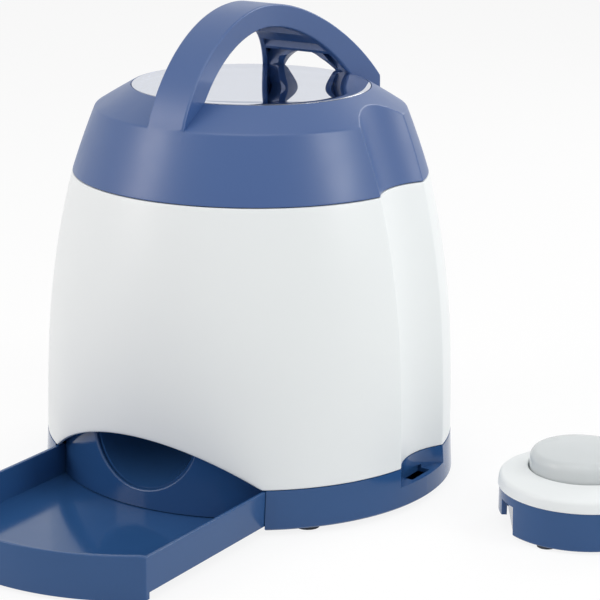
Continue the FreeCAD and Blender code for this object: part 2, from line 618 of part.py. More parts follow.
def chute_panel():
    body = new_body("Panel")
    sketch = new_sketch(body, "YZ_Plane", 0)
    draw(sketch, [rectangle("-panel_radius", "-panel_radius + panel_wall", "panel_low", "panel_high")])
    sector = body.newObject("PartDesign::Revolution", "Sector")
    sector.Profile = sketch
    sector.ReferenceAxis = (sketch, ["V_Axis"])
    sector.setExpression("Angle", sized("panel_angle"))
    sector.Midplane = True
    for low, high in (("panel_half", "panel_radius"), ("-panel_radius", "-panel_half")):
        pocket(body, "XZ_Plane", [rectangle(low, high, 0, "panel_step")], "-base_radius", 0)
    pocket(body, "XZ_Plane", [("0", "outlet_z", "outlet")], "-base_radius", 0)
    ring = number("outlet")

    def outlet_edge(edge):
        span = edge.BoundBox
        return abs(span.XLength - 2 * ring) < 0.1 and abs(span.ZLength - 2 * ring) < 0.1
    fillet(body, "outlet_edge", outlet_edge)
    node("chute_panel", body)


def food_chute():
    top = "metering_low - thin"
    tube = []
    for growth in ("chute_wall", "0"):
        tube.append(loft([
            (f"chute_inlet + {growth}", 0, "drop_y", top, 0),
            (f"chute_bend + {growth}", 0, "chute_bend_y", "chute_bend_z", -45),
            (f"outlet + {growth}", 0, "-panel_radius", "outlet_z", -90)], False))
    room = cylinder("panel_radius - panel_wall - thin", 0, "metering_low")
    node("food_chute", common(cut(*tube), room))


# Hopper and pocket guard

STANDS = [(f"{side} * stand_x", y) for side in (-1, 1) for y in ("stand_front", "stand_rear")]


def metering_plate():
    """Floor under the dosing wheel, with the hole that lets one pocket empty and four screw stands."""
    body = new_body("MeteringPlate")
    pad(body, "XY_Plane", [("0", "0", "chamber + chamber_wall")], "metering_low", "metering_top")
    pocket(body, "XY_Plane", [("0", "drop_y", "drop"), ("0", "0", "shaft + running")],
           "metering_low - overshoot", "metering_top + overshoot")
    pad(body, "XY_Plane", [(x, y, "stand") for x, y in STANDS], "plate_high", "metering_low")
    pocket(body, "XY_Plane", [(x, y, "bore") for x, y in STANDS], "plate_high - overshoot",
           "metering_low - overshoot")
    node("metering_plate", body)


def hopper():
    """Chamber around the dosing wheel and the funnel above it."""
    outside = "chamber + chamber_wall"
    bottom = "metering_top + thin"
    body = turned("Hopper", [
        ("chamber", bottom), (outside, bottom), (outside, "step_low"),
        ("guard_radius + chamber_wall", "step_high"), ("guard_radius + chamber_wall", "cone_low"),
        ("cone_outer", "flange_low"), ("flange_radius", "flange_low"),
        ("flange_radius", "flange_high"), ("cone_radius", "flange_high"),
        ("guard_radius", "cone_low"), ("guard_radius", "guard_seat"), ("chamber", "guard_seat")])
    notch = cylinder("scoop + wall + fit", "cone_low", "flange_high + overshoot", "flange_notch_x")
    node("hopper", cut(body, notch))


def pocket_guard():
    body = new_body("Guard")
    corners = []
    for radius, side, bulge in (("guard_radius - fit", 1, None), ("guard_inner", 1, "-guard_inner"),
                                ("guard_inner", -1, None), ("guard_radius - fit", -1,
                                                            "guard_radius - fit")):
        spot = (f"{side} * ({radius}) * sin(guard_angle)", f"-({radius}) * cos(guard_angle)")
        corners.append(spot if bulge is None else spot + (bulge,))
    pad(body, "XY_Plane", [corners], "guard_seat + thin", "guard_seat + thin + guard_thick")
    node("pocket_guard", body)


# Dosing wheel and gear train

def dosing_wheel():
    body = turned("Wheel", [
        (0, "shaft_low"), ("shaft", "shaft_low"), ("shaft", "wheel_low"), ("wheel_radius", "wheel_low"),
        ("wheel_radius", "wheel_top"), ("hub", "wheel_top"), ("hub_tip", "hub_top"), (0, "hub_top")])
    first = pocket(body, "XY_Plane", [("0", "pocket_ring", "pocket")], "wheel_low - overshoot",
                   "wheel_top + overshoot")
    pattern = body.newObject("PartDesign::PolarPattern", "Pockets")
    pattern.Originals = [first]
    pattern.Axis = (first.Profile[0], ["N_Axis"])
    pattern.Angle = 360
    pattern.setExpression("Occurrences", sized("pockets"))
    body.Tip = pattern
    node("dosing_wheel", body)


def involute_point(base, radius, half_base):
    """Point of a flank at a radius, as (radius, angle from the tooth's middle)."""
    if radius <= base:
        return radius, half_base
    roll = math.sqrt((radius / base) ** 2 - 1)
    return radius, half_base - (roll - math.atan(roll))


def gear_shape(teeth, low, high, phase):
    """Spur gear with involute flanks, tooth 0 in the middle at the phase angle."""
    module = number("tooth")
    pitch = teeth * module / 2
    pressure = math.radians(number("pressure"))
    base = pitch * math.cos(pressure)
    half_pitch = math.pi / 2 / teeth - number("backlash") / 2 / pitch
    half_base = half_pitch + math.tan(pressure) - pressure
    root = pitch - number("tooth_root") * module
    tip = pitch + number("tooth_tip") * module
    steps = 5
    start = max(root, base)
    flank = [involute_point(base, root, half_base)] if root < base else []
    flank += [involute_point(base, start + (tip - start) * step / steps, half_base)
              for step in range(steps + 1)]
    outline = []
    for tooth in range(teeth):
        middle = math.radians(phase) + 2 * math.pi * tooth / teeth
        outline += [(radius, middle - angle) for radius, angle in flank]
        outline += [(radius, middle + angle) for radius, angle in reversed(flank)]
    points = [V(radius * math.cos(angle), radius * math.sin(angle), low) for radius, angle in outline]
    face = Part.Face(Part.makePolygon(points + points[:1]))
    return face.extrude(V(0, 0, high - low))


def shaped(label, shape, x="0", y="0"):
    """Piece made with Part's own functions, placed by the sheet."""
    item = doc.addObject("Part::Feature", "Gear")
    item.Shape = shape.removeSplitter()
    item.Placement.Base = V(number(x), number(y), 0)
    return node(label, item)


def disc(radius, low, high):
    return Part.makeCylinder(radius, high - low, V(0, 0, low))


def wheel_gear():
    low, high = number("wheel_gear_low"), number("wheel_gear_high")
    gear = gear_shape(round(number("wheel_teeth")), low, high, 0)
    shaped("wheel_gear", gear.cut(disc(number("shaft + thin"), low - 1, high + 1)))


def idler_gear():
    """Compound gear: the large wheel takes the motor's drive, the small one turns the dosing wheel."""
    small_teeth = round(number("small_teeth"))
    small = gear_shape(small_teeth, number("small_low"), number("small_high"), 180 / small_teeth)
    large = gear_shape(round(number("large_teeth")), number("large_low"), number("small_low"), 90)
    bore = disc(number("pin + running"), 0, number("metering_low"))
    shaped("idler_gear", small.fuse(large).cut(bore), "0", "idler_y")


def motor_pinion():
    teeth = round(number("pinion_teeth"))
    low, high = number("pinion_low"), number("pinion_high")
    gear = gear_shape(teeth, low, high, -90 + 180 / teeth)
    shaped("motor_pinion", gear.cut(disc(number("motor_shaft + thin / 2"), low - 1, high + 1)), "0",
           "motor_y")


def drive_parts():
    node("idler_pin", cylinder("pin", "plate_low", "metering_low - thin", 0, "idler_y"))
    node("motor_shaft", cylinder("motor_shaft", "motor_shaft_low", "motor_shaft_high", 0, "motor_y"))
    can = cylinder("motor", "motor_low", "plate_low - thin", 0, "motor_y")
    nose = cylinder("motor_boss", "motor_boss_low", "motor_boss_high", 0, "motor_y")
    bore = cylinder("motor_shaft + running", "motor_shaft_low - thin", "motor_shaft_high", 0, "motor_y")
    node("motor", cut(fuse(can, nose), bore))
    plate = new_body("GearPlate")
    pad(plate, "XY_Plane", [rectangle("-plate_half", "plate_half", "plate_front", "plate_rear")],
        "plate_low", "plate_high - thin")
    holes = [(x, y, "bore") for x, y in STANDS]
    holes += [("0", "idler_y", "pin + thin / 2"), ("0", "motor_y", "motor_boss + thin")]
    pocket(plate, "XY_Plane", holes, "plate_low - overshoot", "plate_high + overshoot")
    fillet(plate, "stand", lambda edge: edge.Length < number("plate_high - plate_low")
           and abs(edge.CenterOfMass.x) > number("plate_half - thin"))
    node("gear_plate", plate)
    screws = [screw(x, y, "gear_screw_low", "plate_low - thin", "gear_screw_tip") for x, y in STANDS]
    node("gear_plate_screws", group(screws))


# Batteries, control board and power switch

def battery_box():
    floor_top = "foot_height + base_floor + thin"
    body = new_body("BatteryBox")
    pad(body, "XY_Plane", [rectangle("-box_half", "box_half", "box_front", "box_rear")], floor_top,
        "box_top")
    pad(body, "XY_Plane", [rectangle("-box_ear", "box_ear", "box_rear - box_wall", "box_ear_rear")],
        floor_top, "box_ear_top")
    pocket(body, "XY_Plane", [rectangle("-box_half + box_wall", "box_half - box_wall",
                                        "box_front + box_wall", "box_rear - box_wall")], 0,
           "box_top - box_wall")
    pocket(body, "XY_Plane", [("0", "door_screw_y", "bore")], 0, "box_ear_top + overshoot")
    board_legs = [(f"{side} * board_leg_x", y, "pin") for side in (-1, 1)
                  for y in ("board_leg_front", "board_leg_rear")]
    pad(body, "XY_Plane", board_legs, "box_top - box_wall", "board_low - thin")
    node("battery_box", body)


def battery_parts():
    cells = []
    for low, high in (("cell_gap", "cell_gap + cell_length"), ("-cell_gap - cell_length", "-cell_gap")):
        cells += [lying("cell", low, high, row, "cell_z", "X") for row in ("cell_first", "cell_second")]
    node("battery_cells", group(cells))
    end = "cell_gap + cell_length"
    plates = [box(low, high, "contact_front", "contact_rear", "cell_z - contact_rise",
                  "cell_z + contact_rise")
              for low, high in ((f"{end} + thin", f"{end} + thin + contact"),
                                (f"-({end}) - thin - contact", f"-({end}) - thin"))]
    node("battery_contacts", group(plates))
    top = "foot_height + base_floor - thin * 2"
    door = fuse(box("-door_half + fit", "door_half - fit", "door_front + fit", "door_rear - fit",
                    "foot_height", top),
                box("-door_tab + fit", "door_tab - fit", "door_rear - overshoot", "door_tab_rear - fit",
                    "foot_height", top))
    node("battery_door", cut(door, cylinder("bore", 0, "box_top", 0, "door_screw_y")))
    node("battery_door_screw", screw(0, "door_screw_y", "foot_height - door_head",
                                     "foot_height - thin", "door_screw_tip"))


def control_board():
    node("control_board", box("-board_half", "board_half", "board_front", "board_rear", "board_low",
                              "board_high"))
    top = "board_high + thin"
    receiver = box("receiver_left", "receiver_right", "receiver_front", "receiver_rear", top,
                   "receiver_top")
    chip = box("chip_left", "chip_right", "chip_front", "chip_rear", top, "chip_top")
    capacitor = cylinder("capacitor", top, "capacitor_top", "capacitor_x", "capacitor_y")
    node("board_parts", group([receiver, chip, capacitor]))
    node("buzzer", cylinder("buzzer", top, "buzzer_top", "buzzer_x", "buzzer_y"))


def power_switch():
    half, low, high = "switch_body_half", "switch_low - switch_margin", "switch_high + switch_margin"
    case = box(f"-{half}", half, "switch_body_front", "switch_body_rear", low, high)
    ears = [box(left, right, "switch_body_front", "switch_ear", low, high)
            for left, right in ((f"{half} - switch_ear_width", half),
                                (f"-{half}", f"-{half} + switch_ear_width"))]
    node("switch_body", fuse(case, *ears))
    rest = "slider_travel / 2"
    node("power_switch", box(f"-{rest} - slider_half", f"-{rest} + slider_half", "slider_inner",
                             "slider_outer", "switch_low + fit", "switch_high - fit"))


# Paw button unit

def placed(label, item):
    """Move a piece from the unit's own frame to where the unit stands."""
    item.Placement = FreeCAD.Placement(V(0, 0, 0), FreeCAD.Rotation(V(0, 0, 1), number("unit_turn")))
    item.setExpression("Placement.Base.x", sized("unit_x"))
    item.setExpression("Placement.Base.y", sized("unit_y"))
    return node(label, item)


def ring_spots(radius, angles):
    return [(f"{radius} * cos({angle})", f"{radius} * sin({angle})") for angle in angles]


UNIT_SCREWS = ring_spots("unit_boss_ring", ["0", "unit_boss_angle", "-unit_boss_angle"])
UNIT_FEET = ring_spots("unit_foot_ring", ["unit_foot_angle", "180 - unit_foot_angle",
                                          "180 + unit_foot_angle", "-unit_foot_angle"])


def button_base():
    shell = turned("UnitSkirt", [
        (0, "unit_foot"), ("unit_radius - unit_edge", "unit_foot"),
        ("unit_radius", "unit_foot + unit_edge"),
        ("unit_top_radius", "unit_top"), ("unit_top_radius - skin", "unit_top"),
        ("unit_radius - skin", "unit_floor"), (0, "unit_floor")])
    block = box("-unit_radius", "-notch_x + notch_wall", "-notch_half - notch_wall",
                "notch_half + notch_wall", "unit_foot", "notch_roof")
    inside = cylinder("unit_radius - skin / 2", 0, "unit_top")
    pillars = [cylinder("pillar", "unit_foot", "pillar_top", f"{side_x} * pillar_x",
                        f"{side_y} * pillar_y") for side_x in (-1, 1) for side_y in (-1, 1)]
    bosses = [cylinder("unit_boss", "unit_foot", "unit_boss_top", x, y) for x, y in UNIT_SCREWS]
    bridge = box("-bridge_half", "bridge_half", "bridge_front", "unit_door_rear + fit", "unit_foot",
                 "bridge_top")
    notch = box("-unit_radius - overshoot", "-notch_x", "-notch_half", "notch_half", 0, "notch_top")
    opening = box("-unit_door_half", "unit_door_half", "unit_door_front", "unit_door_rear", 0,
                  "unit_floor")
    bores = [cylinder("unit_bore", 0, "unit_top", x, y) for x, y in UNIT_SCREWS]
    bores += [cylinder("unit_head + fit / 2", 0, "unit_foot + unit_head_depth", x, y)
              for x, y in UNIT_SCREWS]
    bores.append(cylinder("unit_bore", 0, "unit_door_bore", 0, "unit_door_screw"))
    solid = cut(fuse(shell, common(block, inside), *pillars, *bosses, bridge), notch, opening, *bores)
    tongue = turned("Tongue", [
        ("unit_radius - skin", "tongue_low"), ("tongue_radius", "tongue_low"),
        ("tongue_radius", "notch_roof"), ("unit_radius - skin", "notch_roof")])
    strip = box("-unit_radius - overshoot", 0, "-tongue_half", "tongue_half", 0, "unit_top")
    placed("button_base", fuse(solid, common(tongue, strip)))


def button_ring():
    crown = turned("UnitRing", [
        ("ring_inner", "ring_low"), ("ring_radius", "ring_low"),
        ("ring_edge_radius", "ring_edge", "ring_round"), ("ring_round_radius", "ring_round_z"),
        ("ring_mouth", "ring_top"), ("ring_hole", "ring_lip"), ("ring_hole", "ring_under"),
        ("ring_inner", "ring_rest")])
    posts = [cylinder("ring_post", "ring_post_low", "ring_post_top", x, y) for x, y in UNIT_SCREWS]
    bores = [cylinder("unit_bore", "unit_floor", "ring_rest", x, y) for x, y in UNIT_SCREWS]
    placed("button_ring", cut(fuse(crown, *posts), *bores))


def crown_radius(half, rise):
    """Radius of a cap with its middle on the axis."""
    return f"({half} ^ 2 + ({rise}) ^ 2) / (2 * ({rise}))"


def paw_button():
    outer = turned("Dome", [
        (0, "button_low"), ("button_flange", "button_low"), ("button_flange", "button_flange_top"),
        ("button_radius", "button_flange_top"), ("button_radius", "button_shoulder", "button_round"),
        ("button_turn_x", "button_turn_z", crown_radius("button_turn_x", "button_top - button_turn_z")),
        (0, "button_top")])
    inner = "button_turn_inner"
    bottom = "button_low - overshoot"
    hollow = turned("DomeHollow", [
        (0, bottom), ("button_radius - button_skin", bottom),
        ("button_radius - button_skin", "button_shoulder", "button_round - button_skin"),
        (inner, "button_turn_z - button_skin", crown_radius(inner, "button_top - button_turn_z")),
        (0, "button_top - button_skin")])
    seat = cylinder("button_seat", "button_seat_z", "button_top - button_skin / 2")
    post = cylinder("button_post", "button_post_z", "button_seat_z + overshoot")
    placed("paw_button", fuse(cut(outer, hollow), seat, post))


def button_spring():
    """Round wire coil with flat ground ends left out."""
    wire, low = number("spring_wire"), number("spring_low")
    rise = number("spring_high") - low - 2 * wire
    helix = Part.makeHelix(rise / number("spring_turns"), rise, number("spring"))
    helix.translate(V(0, 0, low + wire))
    start = V(number("spring"), 0, low + wire)
    section = Part.Wire(Part.makeCircle(wire, start, V(0, 1, 0)))
    item = doc.addObject("Part::Feature", "Coil")
    item.Shape = Part.Wire(helix).makePipeShell([section], True, True)
    placed("button_spring", item)


def unit_inner_parts():
    disc_body = new_body("UnitBoard")
    pad(disc_body, "XY_Plane", [("0", "0", "disc")], "disc_low", "disc_high")
    placed("button_board", disc_body)
    switch = fuse(box("-tact", "tact", "-tact", "tact", "disc_high + thin", "tact_high"),
                  cylinder("plunger", "disc_high + thin", "plunger_high"))
    placed("tact_switch", switch)
    half = "small_cell_half"
    cells = [lying("small_cell", f"-{half}", half, f"{side} * small_cell_x", "small_cell_z", "Y")
             for side in (-1, 1)]
    placed("button_cells", group(cells))
    plates = [box("-small_contact", "small_contact", low, high, "small_cell_z - small_contact_rise",
                  "small_cell_z + small_contact_rise")
              for low, high in ((f"{half} + thin", f"{half} + contact"),
                                (f"-{half} - contact", f"-{half} - thin"))]
    placed("button_contacts", group(plates))


def unit_outer_parts():
    pads = [cylinder("unit_foot_size", 0, "unit_foot", x, y) for x, y in UNIT_FEET]
    placed("button_feet", group(pads))
    top = "unit_foot + unit_head_depth"
    screws = [screw(x, y, "unit_foot + thin", f"{top} - thin", "unit_screw_tip", "unit_screw",
                    "unit_head") for x, y in UNIT_SCREWS]
    placed("button_screws", group(screws))
    lid = box("-unit_door_half + fit", "unit_door_half - fit", "unit_door_front + fit",
              "unit_door_rear - fit", "unit_foot", "unit_floor - fit")
    hole = cylinder("unit_bore", 0, "bridge_top", 0, "unit_door_screw")
    placed("button_door", cut(lid, hole))
    placed("button_door_screw", screw(0, "unit_door_screw", "unit_door_head", "unit_foot - thin",
                                      "unit_door_tip", "unit_screw", "unit_head"))


def export():
    doc.recompute()
    failed = [f"{item.Label} in {[user.Label for user in item.InList]}" for item in doc.Objects
              if {"Invalid", "Error"} & set(item.State)]
    if failed:
        raise RuntimeError("failed objects: " + ", ".join(failed))
    for item in NODES:
        if item.Shape.isNull() or not item.Shape.isValid():
            raise RuntimeError("bad shape: " + item.Label)
    os.makedirs("parts", exist_ok=True)
    for item in NODES:
        item.Shape.exportStep(f"parts/{item.Label}.step")
        size = item.Shape.BoundBox
        print(f"{item.Label:20s} {len(item.Shape.Solids):3d} solids {item.Shape.Volume:12.1f} mm3 "
              f"{size.XLength:7.1f} {size.YLength:7.1f} {size.ZLength:7.1f}")


for make in (base_pan, feet, shell_screws, body_shell, collar_handle, window, cover_seal, feed_tray,
             chute_panel, food_chute, metering_plate, hopper, pocket_guard, dosing_wheel, wheel_gear,
             idler_gear, motor_pinion, drive_parts, battery_box, battery_parts, control_board, power_switch,
             button_base, button_ring, paw_button, button_spring, unit_inner_parts, unit_outer_parts):
    make()
export()
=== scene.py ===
"""Dog puzzle toy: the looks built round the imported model. Sizes are in mm until a mesh is made."""
import json
import math

import bmesh
import bpy
from mathutils import Matrix, Vector


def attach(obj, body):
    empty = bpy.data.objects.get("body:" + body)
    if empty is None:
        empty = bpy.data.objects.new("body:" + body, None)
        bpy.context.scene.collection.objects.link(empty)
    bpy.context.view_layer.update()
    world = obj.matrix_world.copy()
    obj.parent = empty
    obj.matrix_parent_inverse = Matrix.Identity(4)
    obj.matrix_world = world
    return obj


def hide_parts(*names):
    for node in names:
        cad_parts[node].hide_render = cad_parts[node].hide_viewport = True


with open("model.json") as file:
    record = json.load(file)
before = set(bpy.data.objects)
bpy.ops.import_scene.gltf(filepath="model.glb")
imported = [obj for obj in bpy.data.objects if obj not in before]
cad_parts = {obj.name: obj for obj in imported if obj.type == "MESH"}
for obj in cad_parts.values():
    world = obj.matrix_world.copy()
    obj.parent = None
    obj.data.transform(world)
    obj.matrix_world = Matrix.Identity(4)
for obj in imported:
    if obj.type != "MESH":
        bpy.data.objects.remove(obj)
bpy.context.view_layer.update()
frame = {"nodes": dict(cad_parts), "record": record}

MM = 0.001
TAU = 2 * math.pi

scene = bpy.context.scene
scene.view_settings.view_transform = "Standard"


# Camera: fitted to the photograph's base, rim and tray circles

SENSOR = 36
FOCAL = 132.0
CAMERA_PLACE = Vector((584.8, -913.4, 388.7)) * MM
CAMERA_RIGHT = Vector((0.853, 0.5218, 0.0106)).normalized()
CAMERA_AHEAD = Vector((-0.5005, 0.8236, -0.267)).normalized()


def make_camera():
    lens = bpy.data.cameras.new("camera")
    lens.sensor_width = SENSOR
    lens.lens = FOCAL
    camera = bpy.data.objects.new("camera", lens)
    up = CAMERA_RIGHT.cross(CAMERA_AHEAD).normalized()
    right = CAMERA_AHEAD.cross(up).normalized()
    turn = Matrix((right, up, -CAMERA_AHEAD)).transposed().to_4x4()
    camera.matrix_world = Matrix.Translation(CAMERA_PLACE) @ turn
    scene.collection.objects.link(camera)
    scene.camera = camera


make_camera()


# Materials

TONE_SCALE = 14  # per metre: patches of tone about 70 mm wide
WEAR_SCALE = 55  # per metre: patches of gloss about 18 mm wide
NOISE_LOW, NOISE_HIGH = 0.3, 0.7  # between these lie most values of a noise texture
GRAIN_WIDTH = 0.9  # mm: an eroded tool's grain of 0.1 mm is too fine to show, so it is coarser
LATHE_LINE_WIDTH = 0.6  # mm: drawn coarser than real tool marks, for the same reason
LATHE_LINE_CHANGE = 0.08  # roughness added and taken away by the tool marks
FACING_LOW, FACING_HIGH = 0.25, 0.75  # slant of a ray where the mirror sets in and is full
MIRROR_LOW, MIRROR_HIGH = 0.1, 0.84  # the sheet's share of mirror at those two


def linear(code):
    """sRGB hex as the linear colour that a shader takes."""
    shares = [int(code[place:place + 2], 16) / 255 for place in (0, 2, 4)]
    return tuple(s / 12.92 if s <= 0.04045 else ((s + 0.055) / 1.055) ** 2.4 for s in shares) + (1,)


def add(tree, kind, inputs=None, settings=None):
    """Add a node, set its own settings, and fill its inputs with values or other nodes' outputs."""
    node = tree.nodes.new(kind)
    for name, value in (settings or {}).items():
        setattr(node, name, value)
    for name, value in (inputs or {}).items():
        if isinstance(value, bpy.types.NodeSocket):
            tree.links.new(value, node.inputs[name])
        else:
            node.inputs[name].default_value = value
    return node


def new_material(name):
    material = bpy.data.materials.new(name)
    material.use_nodes = True
    material.node_tree.nodes.clear()
    return material


def moulded(name, pale, deep, gloss, grain, shine=0.5, sockets=None):
    """Moulded plastic: its colour drifts between two shades, gloss is its low and high roughness,
    and grain is the height in mm of the texture that an eroded tool leaves."""
    material = new_material(name)
    tree = material.node_tree
    place = add(tree, "ShaderNodeTexCoord").outputs["Object"]
    drift = add(tree, "ShaderNodeTexNoise", {"Vector": place, "Scale": TONE_SCALE, "Detail": 2})
    colour = add(tree, "ShaderNodeMix", {
        "Factor": drift.outputs["Fac"], "A": linear(pale), "B": linear(deep)},
        {"data_type": "RGBA"})
    wear = add(tree, "ShaderNodeTexNoise", {"Vector": place, "Scale": WEAR_SCALE, "Detail": 3})
    rough = add(tree, "ShaderNodeMapRange", {
        "Value": wear.outputs["Fac"], "From Min": NOISE_LOW, "From Max": NOISE_HIGH,
        "To Min": gloss[0], "To Max": gloss[1]})
    texture = add(tree, "ShaderNodeTexNoise", {
        "Vector": place, "Scale": 1 / (GRAIN_WIDTH * MM), "Detail": 1})
    bump = add(tree, "ShaderNodeBump", {
        "Height": texture.outputs["Fac"], "Distance": grain * MM, "Strength": 1})
    shader = add(tree, "ShaderNodeBsdfPrincipled", {
        "Base Color": colour.outputs["Result"], "Roughness": rough.outputs["Result"],
        "Normal": bump.outputs["Normal"], "Specular IOR Level": shine, **(sockets or {})})
    add(tree, "ShaderNodeOutputMaterial", {"Surface": shader.outputs["BSDF"]})
    return material


def clear_sheet(name, tint, roughness):
    """Clear sheet: it shows what is below it from above, mirrors at a low angle, and casts no
    shadow."""
    material = new_material(name)
    tree = material.node_tree
    facing = add(tree, "ShaderNodeLayerWeight", {"Blend": 0.5}).outputs["Facing"]
    mirror = add(tree, "ShaderNodeMapRange", {
        "Value": facing, "From Min": FACING_LOW, "From Max": FACING_HIGH,
        "To Min": MIRROR_LOW, "To Max": MIRROR_HIGH})
    lamp_ray = add(tree, "ShaderNodeLightPath").outputs["Is Shadow Ray"]
    not_lamp = add(tree, "ShaderNodeMath", {0: 1.0, 1: lamp_ray}, {"operation": "SUBTRACT"})
    share = add(tree, "ShaderNodeMath", {
        0: mirror.outputs["Result"], 1: not_lamp.outputs[0]}, {"operation": "MULTIPLY"})
    through = add(tree, "ShaderNodeBsdfTransparent", {"Color": linear(tint)})
    gloss = add(tree, "ShaderNodeBsdfGlossy", {"Color": linear(tint), "Roughness": roughness})
    mix = add(tree, "ShaderNodeMixShader", {
        0: share.outputs[0], 1: through.outputs["BSDF"], 2: gloss.outputs["BSDF"]})
    add(tree, "ShaderNodeOutputMaterial", {"Surface": mix.outputs["Shader"]})
    return material


def lathe_turned(name, code, roughness):
    """Metal with fine tool marks that spread the highlight."""
    material = new_material(name)
    tree = material.node_tree
    place = add(tree, "ShaderNodeTexCoord").outputs["Object"]
    marks = add(tree, "ShaderNodeTexNoise", {
        "Vector": place, "Scale": 1 / (LATHE_LINE_WIDTH * MM), "Detail": 2})
    rough = add(tree, "ShaderNodeMapRange", {
        "Value": marks.outputs["Fac"], "To Min": roughness - LATHE_LINE_CHANGE,
        "To Max": roughness + LATHE_LINE_CHANGE})
    shader = add(tree, "ShaderNodeBsdfPrincipled", {
        "Base Color": linear(code), "Metallic": 1.0, "Roughness": rough.outputs["Result"]})
    add(tree, "ShaderNodeOutputMaterial", {"Surface": shader.outputs["BSDF"]})
    return material


# The plastics keep the shader's IOR of 1.5, which is near that of each of them.
MATERIALS = {
    # ABS moulded in an eroded tool: an even white with broad, soft highlights
    "white_plastic": moulded("white_abs", "F0F4F4", "ECF0F1", (0.32, 0.4), 0.006),
    # ABS coloured through, satin: a wide pale sheen down the cover's side
    "blue_plastic": moulded("blue_abs_satin", "32578F", "2D5089", (0.34, 0.4), 0.006, 0.78),
    # ABS from a polished tool: a deeper blue in which the tray's walls show again
    "deep_blue_plastic": moulded("blue_abs_gloss", "30588B", "2A5082", (0.1, 0.15), 0.002, 0.35),
    # Polycarbonate, polished on both sides: clear from above, and a mirror at a low angle
    "clear_plastic": clear_sheet("clear_polycarbonate", "E9ECF3", 0.015),
    # Polypropylene moulded thin: milky, with a little light coming through
    "frosted_plastic": moulded("frosted_pp", "E6EBEC", "E0E6E8", (0.2, 0.26), 0.003,
                               sockets={"Transmission Weight": 0.25}),
    # Pale ABS, moulded rough where it doesn't show: dull and slightly grey
    "inner_plastic": moulded("pale_abs_inner", "E4E6E8", "DCDFE2", (0.4, 0.5), 0.02),
    # Acetal, moulded: cream and a little waxy
    "gear_plastic": moulded("acetal_gears", "EFEBDC", "E7E2D0", (0.3, 0.4), 0.01),
    # Steel, turned: a highlight drawn out by the tool marks
    "steel": lathe_turned("turned_steel", "C8CACD", 0.3),
    # Film shrunk on the cells: near black with a thin gloss
    "cell_sleeve": moulded("cell_sleeve_film", "26282B", "1D1F22", (0.2, 0.28), 0.004),
    # Rubber, moulded: dark and matt, with no clear highlight
    "rubber": moulded("moulded_rubber", "3A424F", "303843", (0.6, 0.75), 0.05),
    # Epoxy board, coated with solder mask: green and half glossy
    "circuit_board": moulded("solder_mask", "2E6B46", "275F3D", (0.35, 0.45), 0.02),
    # Polyamide, moulded: black and dull
    "black_plastic": moulded("black_nylon", "1B1C1E", "141517", (0.4, 0.55), 0.02),
}

slots = {row["node"]: row["material_slot"] for row in frame["record"]["subparts"]}
for name, item in frame["nodes"].items():
    item.data.materials.clear()
    item.data.materials.append(MATERIALS[slots[name]])


# Mesh making

WELD_GAP = 0.004
CRISP_ANGLE = math.radians(35)
ROUND_STEPS = 4
ROUND_SHARE = 0.45  # the most of a side that one rounded corner takes
TURN_STEPS = 160


def make_object(name, points, faces, material):
    """Mesh object from points in mm, smooth except across its crisp edges."""
    mesh = bpy.data.meshes.new(name)
    mesh.from_pydata([tuple(c * MM for c in point) for point in points], [], faces)
    mesh.materials.append(material)
    item = bpy.data.objects.new(name, mesh)
    scene.collection.objects.link(item)
    finish_mesh(mesh)
    return item


def finish_mesh(mesh):
    """Close seams and poles, point the faces outwards and mark the crisp edges."""
    work = bmesh.new()
    work.from_mesh(mesh)
    bmesh.ops.remove_doubles(work, verts=work.verts, dist=WELD_GAP * MM)
    bmesh.ops.recalc_face_normals(work, faces=work.faces)
    work.to_mesh(mesh)
    work.free()
    mesh.shade_smooth()
    mesh.set_sharp_from_angle(angle=CRISP_ANGLE)


def grid(rows, ring=True):
    """Points and faces through closed rows of equal length. A ring joins the last row to the first,
    and otherwise the two ends are capped."""
    count, wide = len(rows), len(rows[0])
    points = [point for row in rows for point in row]
    faces = []
    for i in range(count if ring else count - 1):
        after = (i + 1) % count
        for j in range(wide):
            side = (j + 1) % wide
            faces.append((i * wide + j, i * wide + side, after * wide + side, after * wide + j))
    if not ring:
        faces.append(tuple(range(wide))[::-1])
        faces.append(tuple(range((count - 1) * wide, count * wide)))
    return points, faces


def soften(line, corners):
    """Closed line with some corners rounded. Corners gives the length cut off, by place in the
    line."""
    soft = []
    for place, point in enumerate(line):
        if place not in corners:
            soft.append(point)
            continue
        here = Vector(point)
        back = Vector(line[place - 1]) - here
        ahead = Vector(line[(place + 1) % len(line)]) - here
        first = here + back.normalized() * min(corners[place], back.length * ROUND_SHARE)
        last = here + ahead.normalized() * min(corners[place], ahead.length * ROUND_SHARE)
        for step in range(ROUND_STEPS + 1):
            t = step / ROUND_STEPS
            soft.append(tuple(first * (1 - t) ** 2 + here * (2 * t * (1 - t)) + last * t ** 2))
    return soft


def arc_centre(start, end, radius):
    """Centre of an arc: left of the way from start to end when radius is positive, else right."""
    start, end = Vector(start), Vector(end)
    chord = end - start
    left = Vector((-chord.y, chord.x)).normalized()
    reach = math.copysign(math.sqrt(radius ** 2 - chord.length ** 2 / 4), radius)
    return (start + end) / 2 + left * reach


def bow(start, end, radius, steps):
    """Points along the arc that arc_centre describes."""
    start, end = Vector(start), Vector(end)
    centre = arc_centre(start, end, radius)
    first = math.atan2(start.y - centre.y, start.x - centre.x)
    sweep = math.copysign(2 * math.asin((end - start).length / 2 / abs(radius)), radius)
    angles = [first + sweep * k / steps for k in range(steps + 1)]
    return [(centre.x + abs(radius) * math.cos(angle), centre.y + abs(radius) * math.sin(angle))
            for angle in angles]


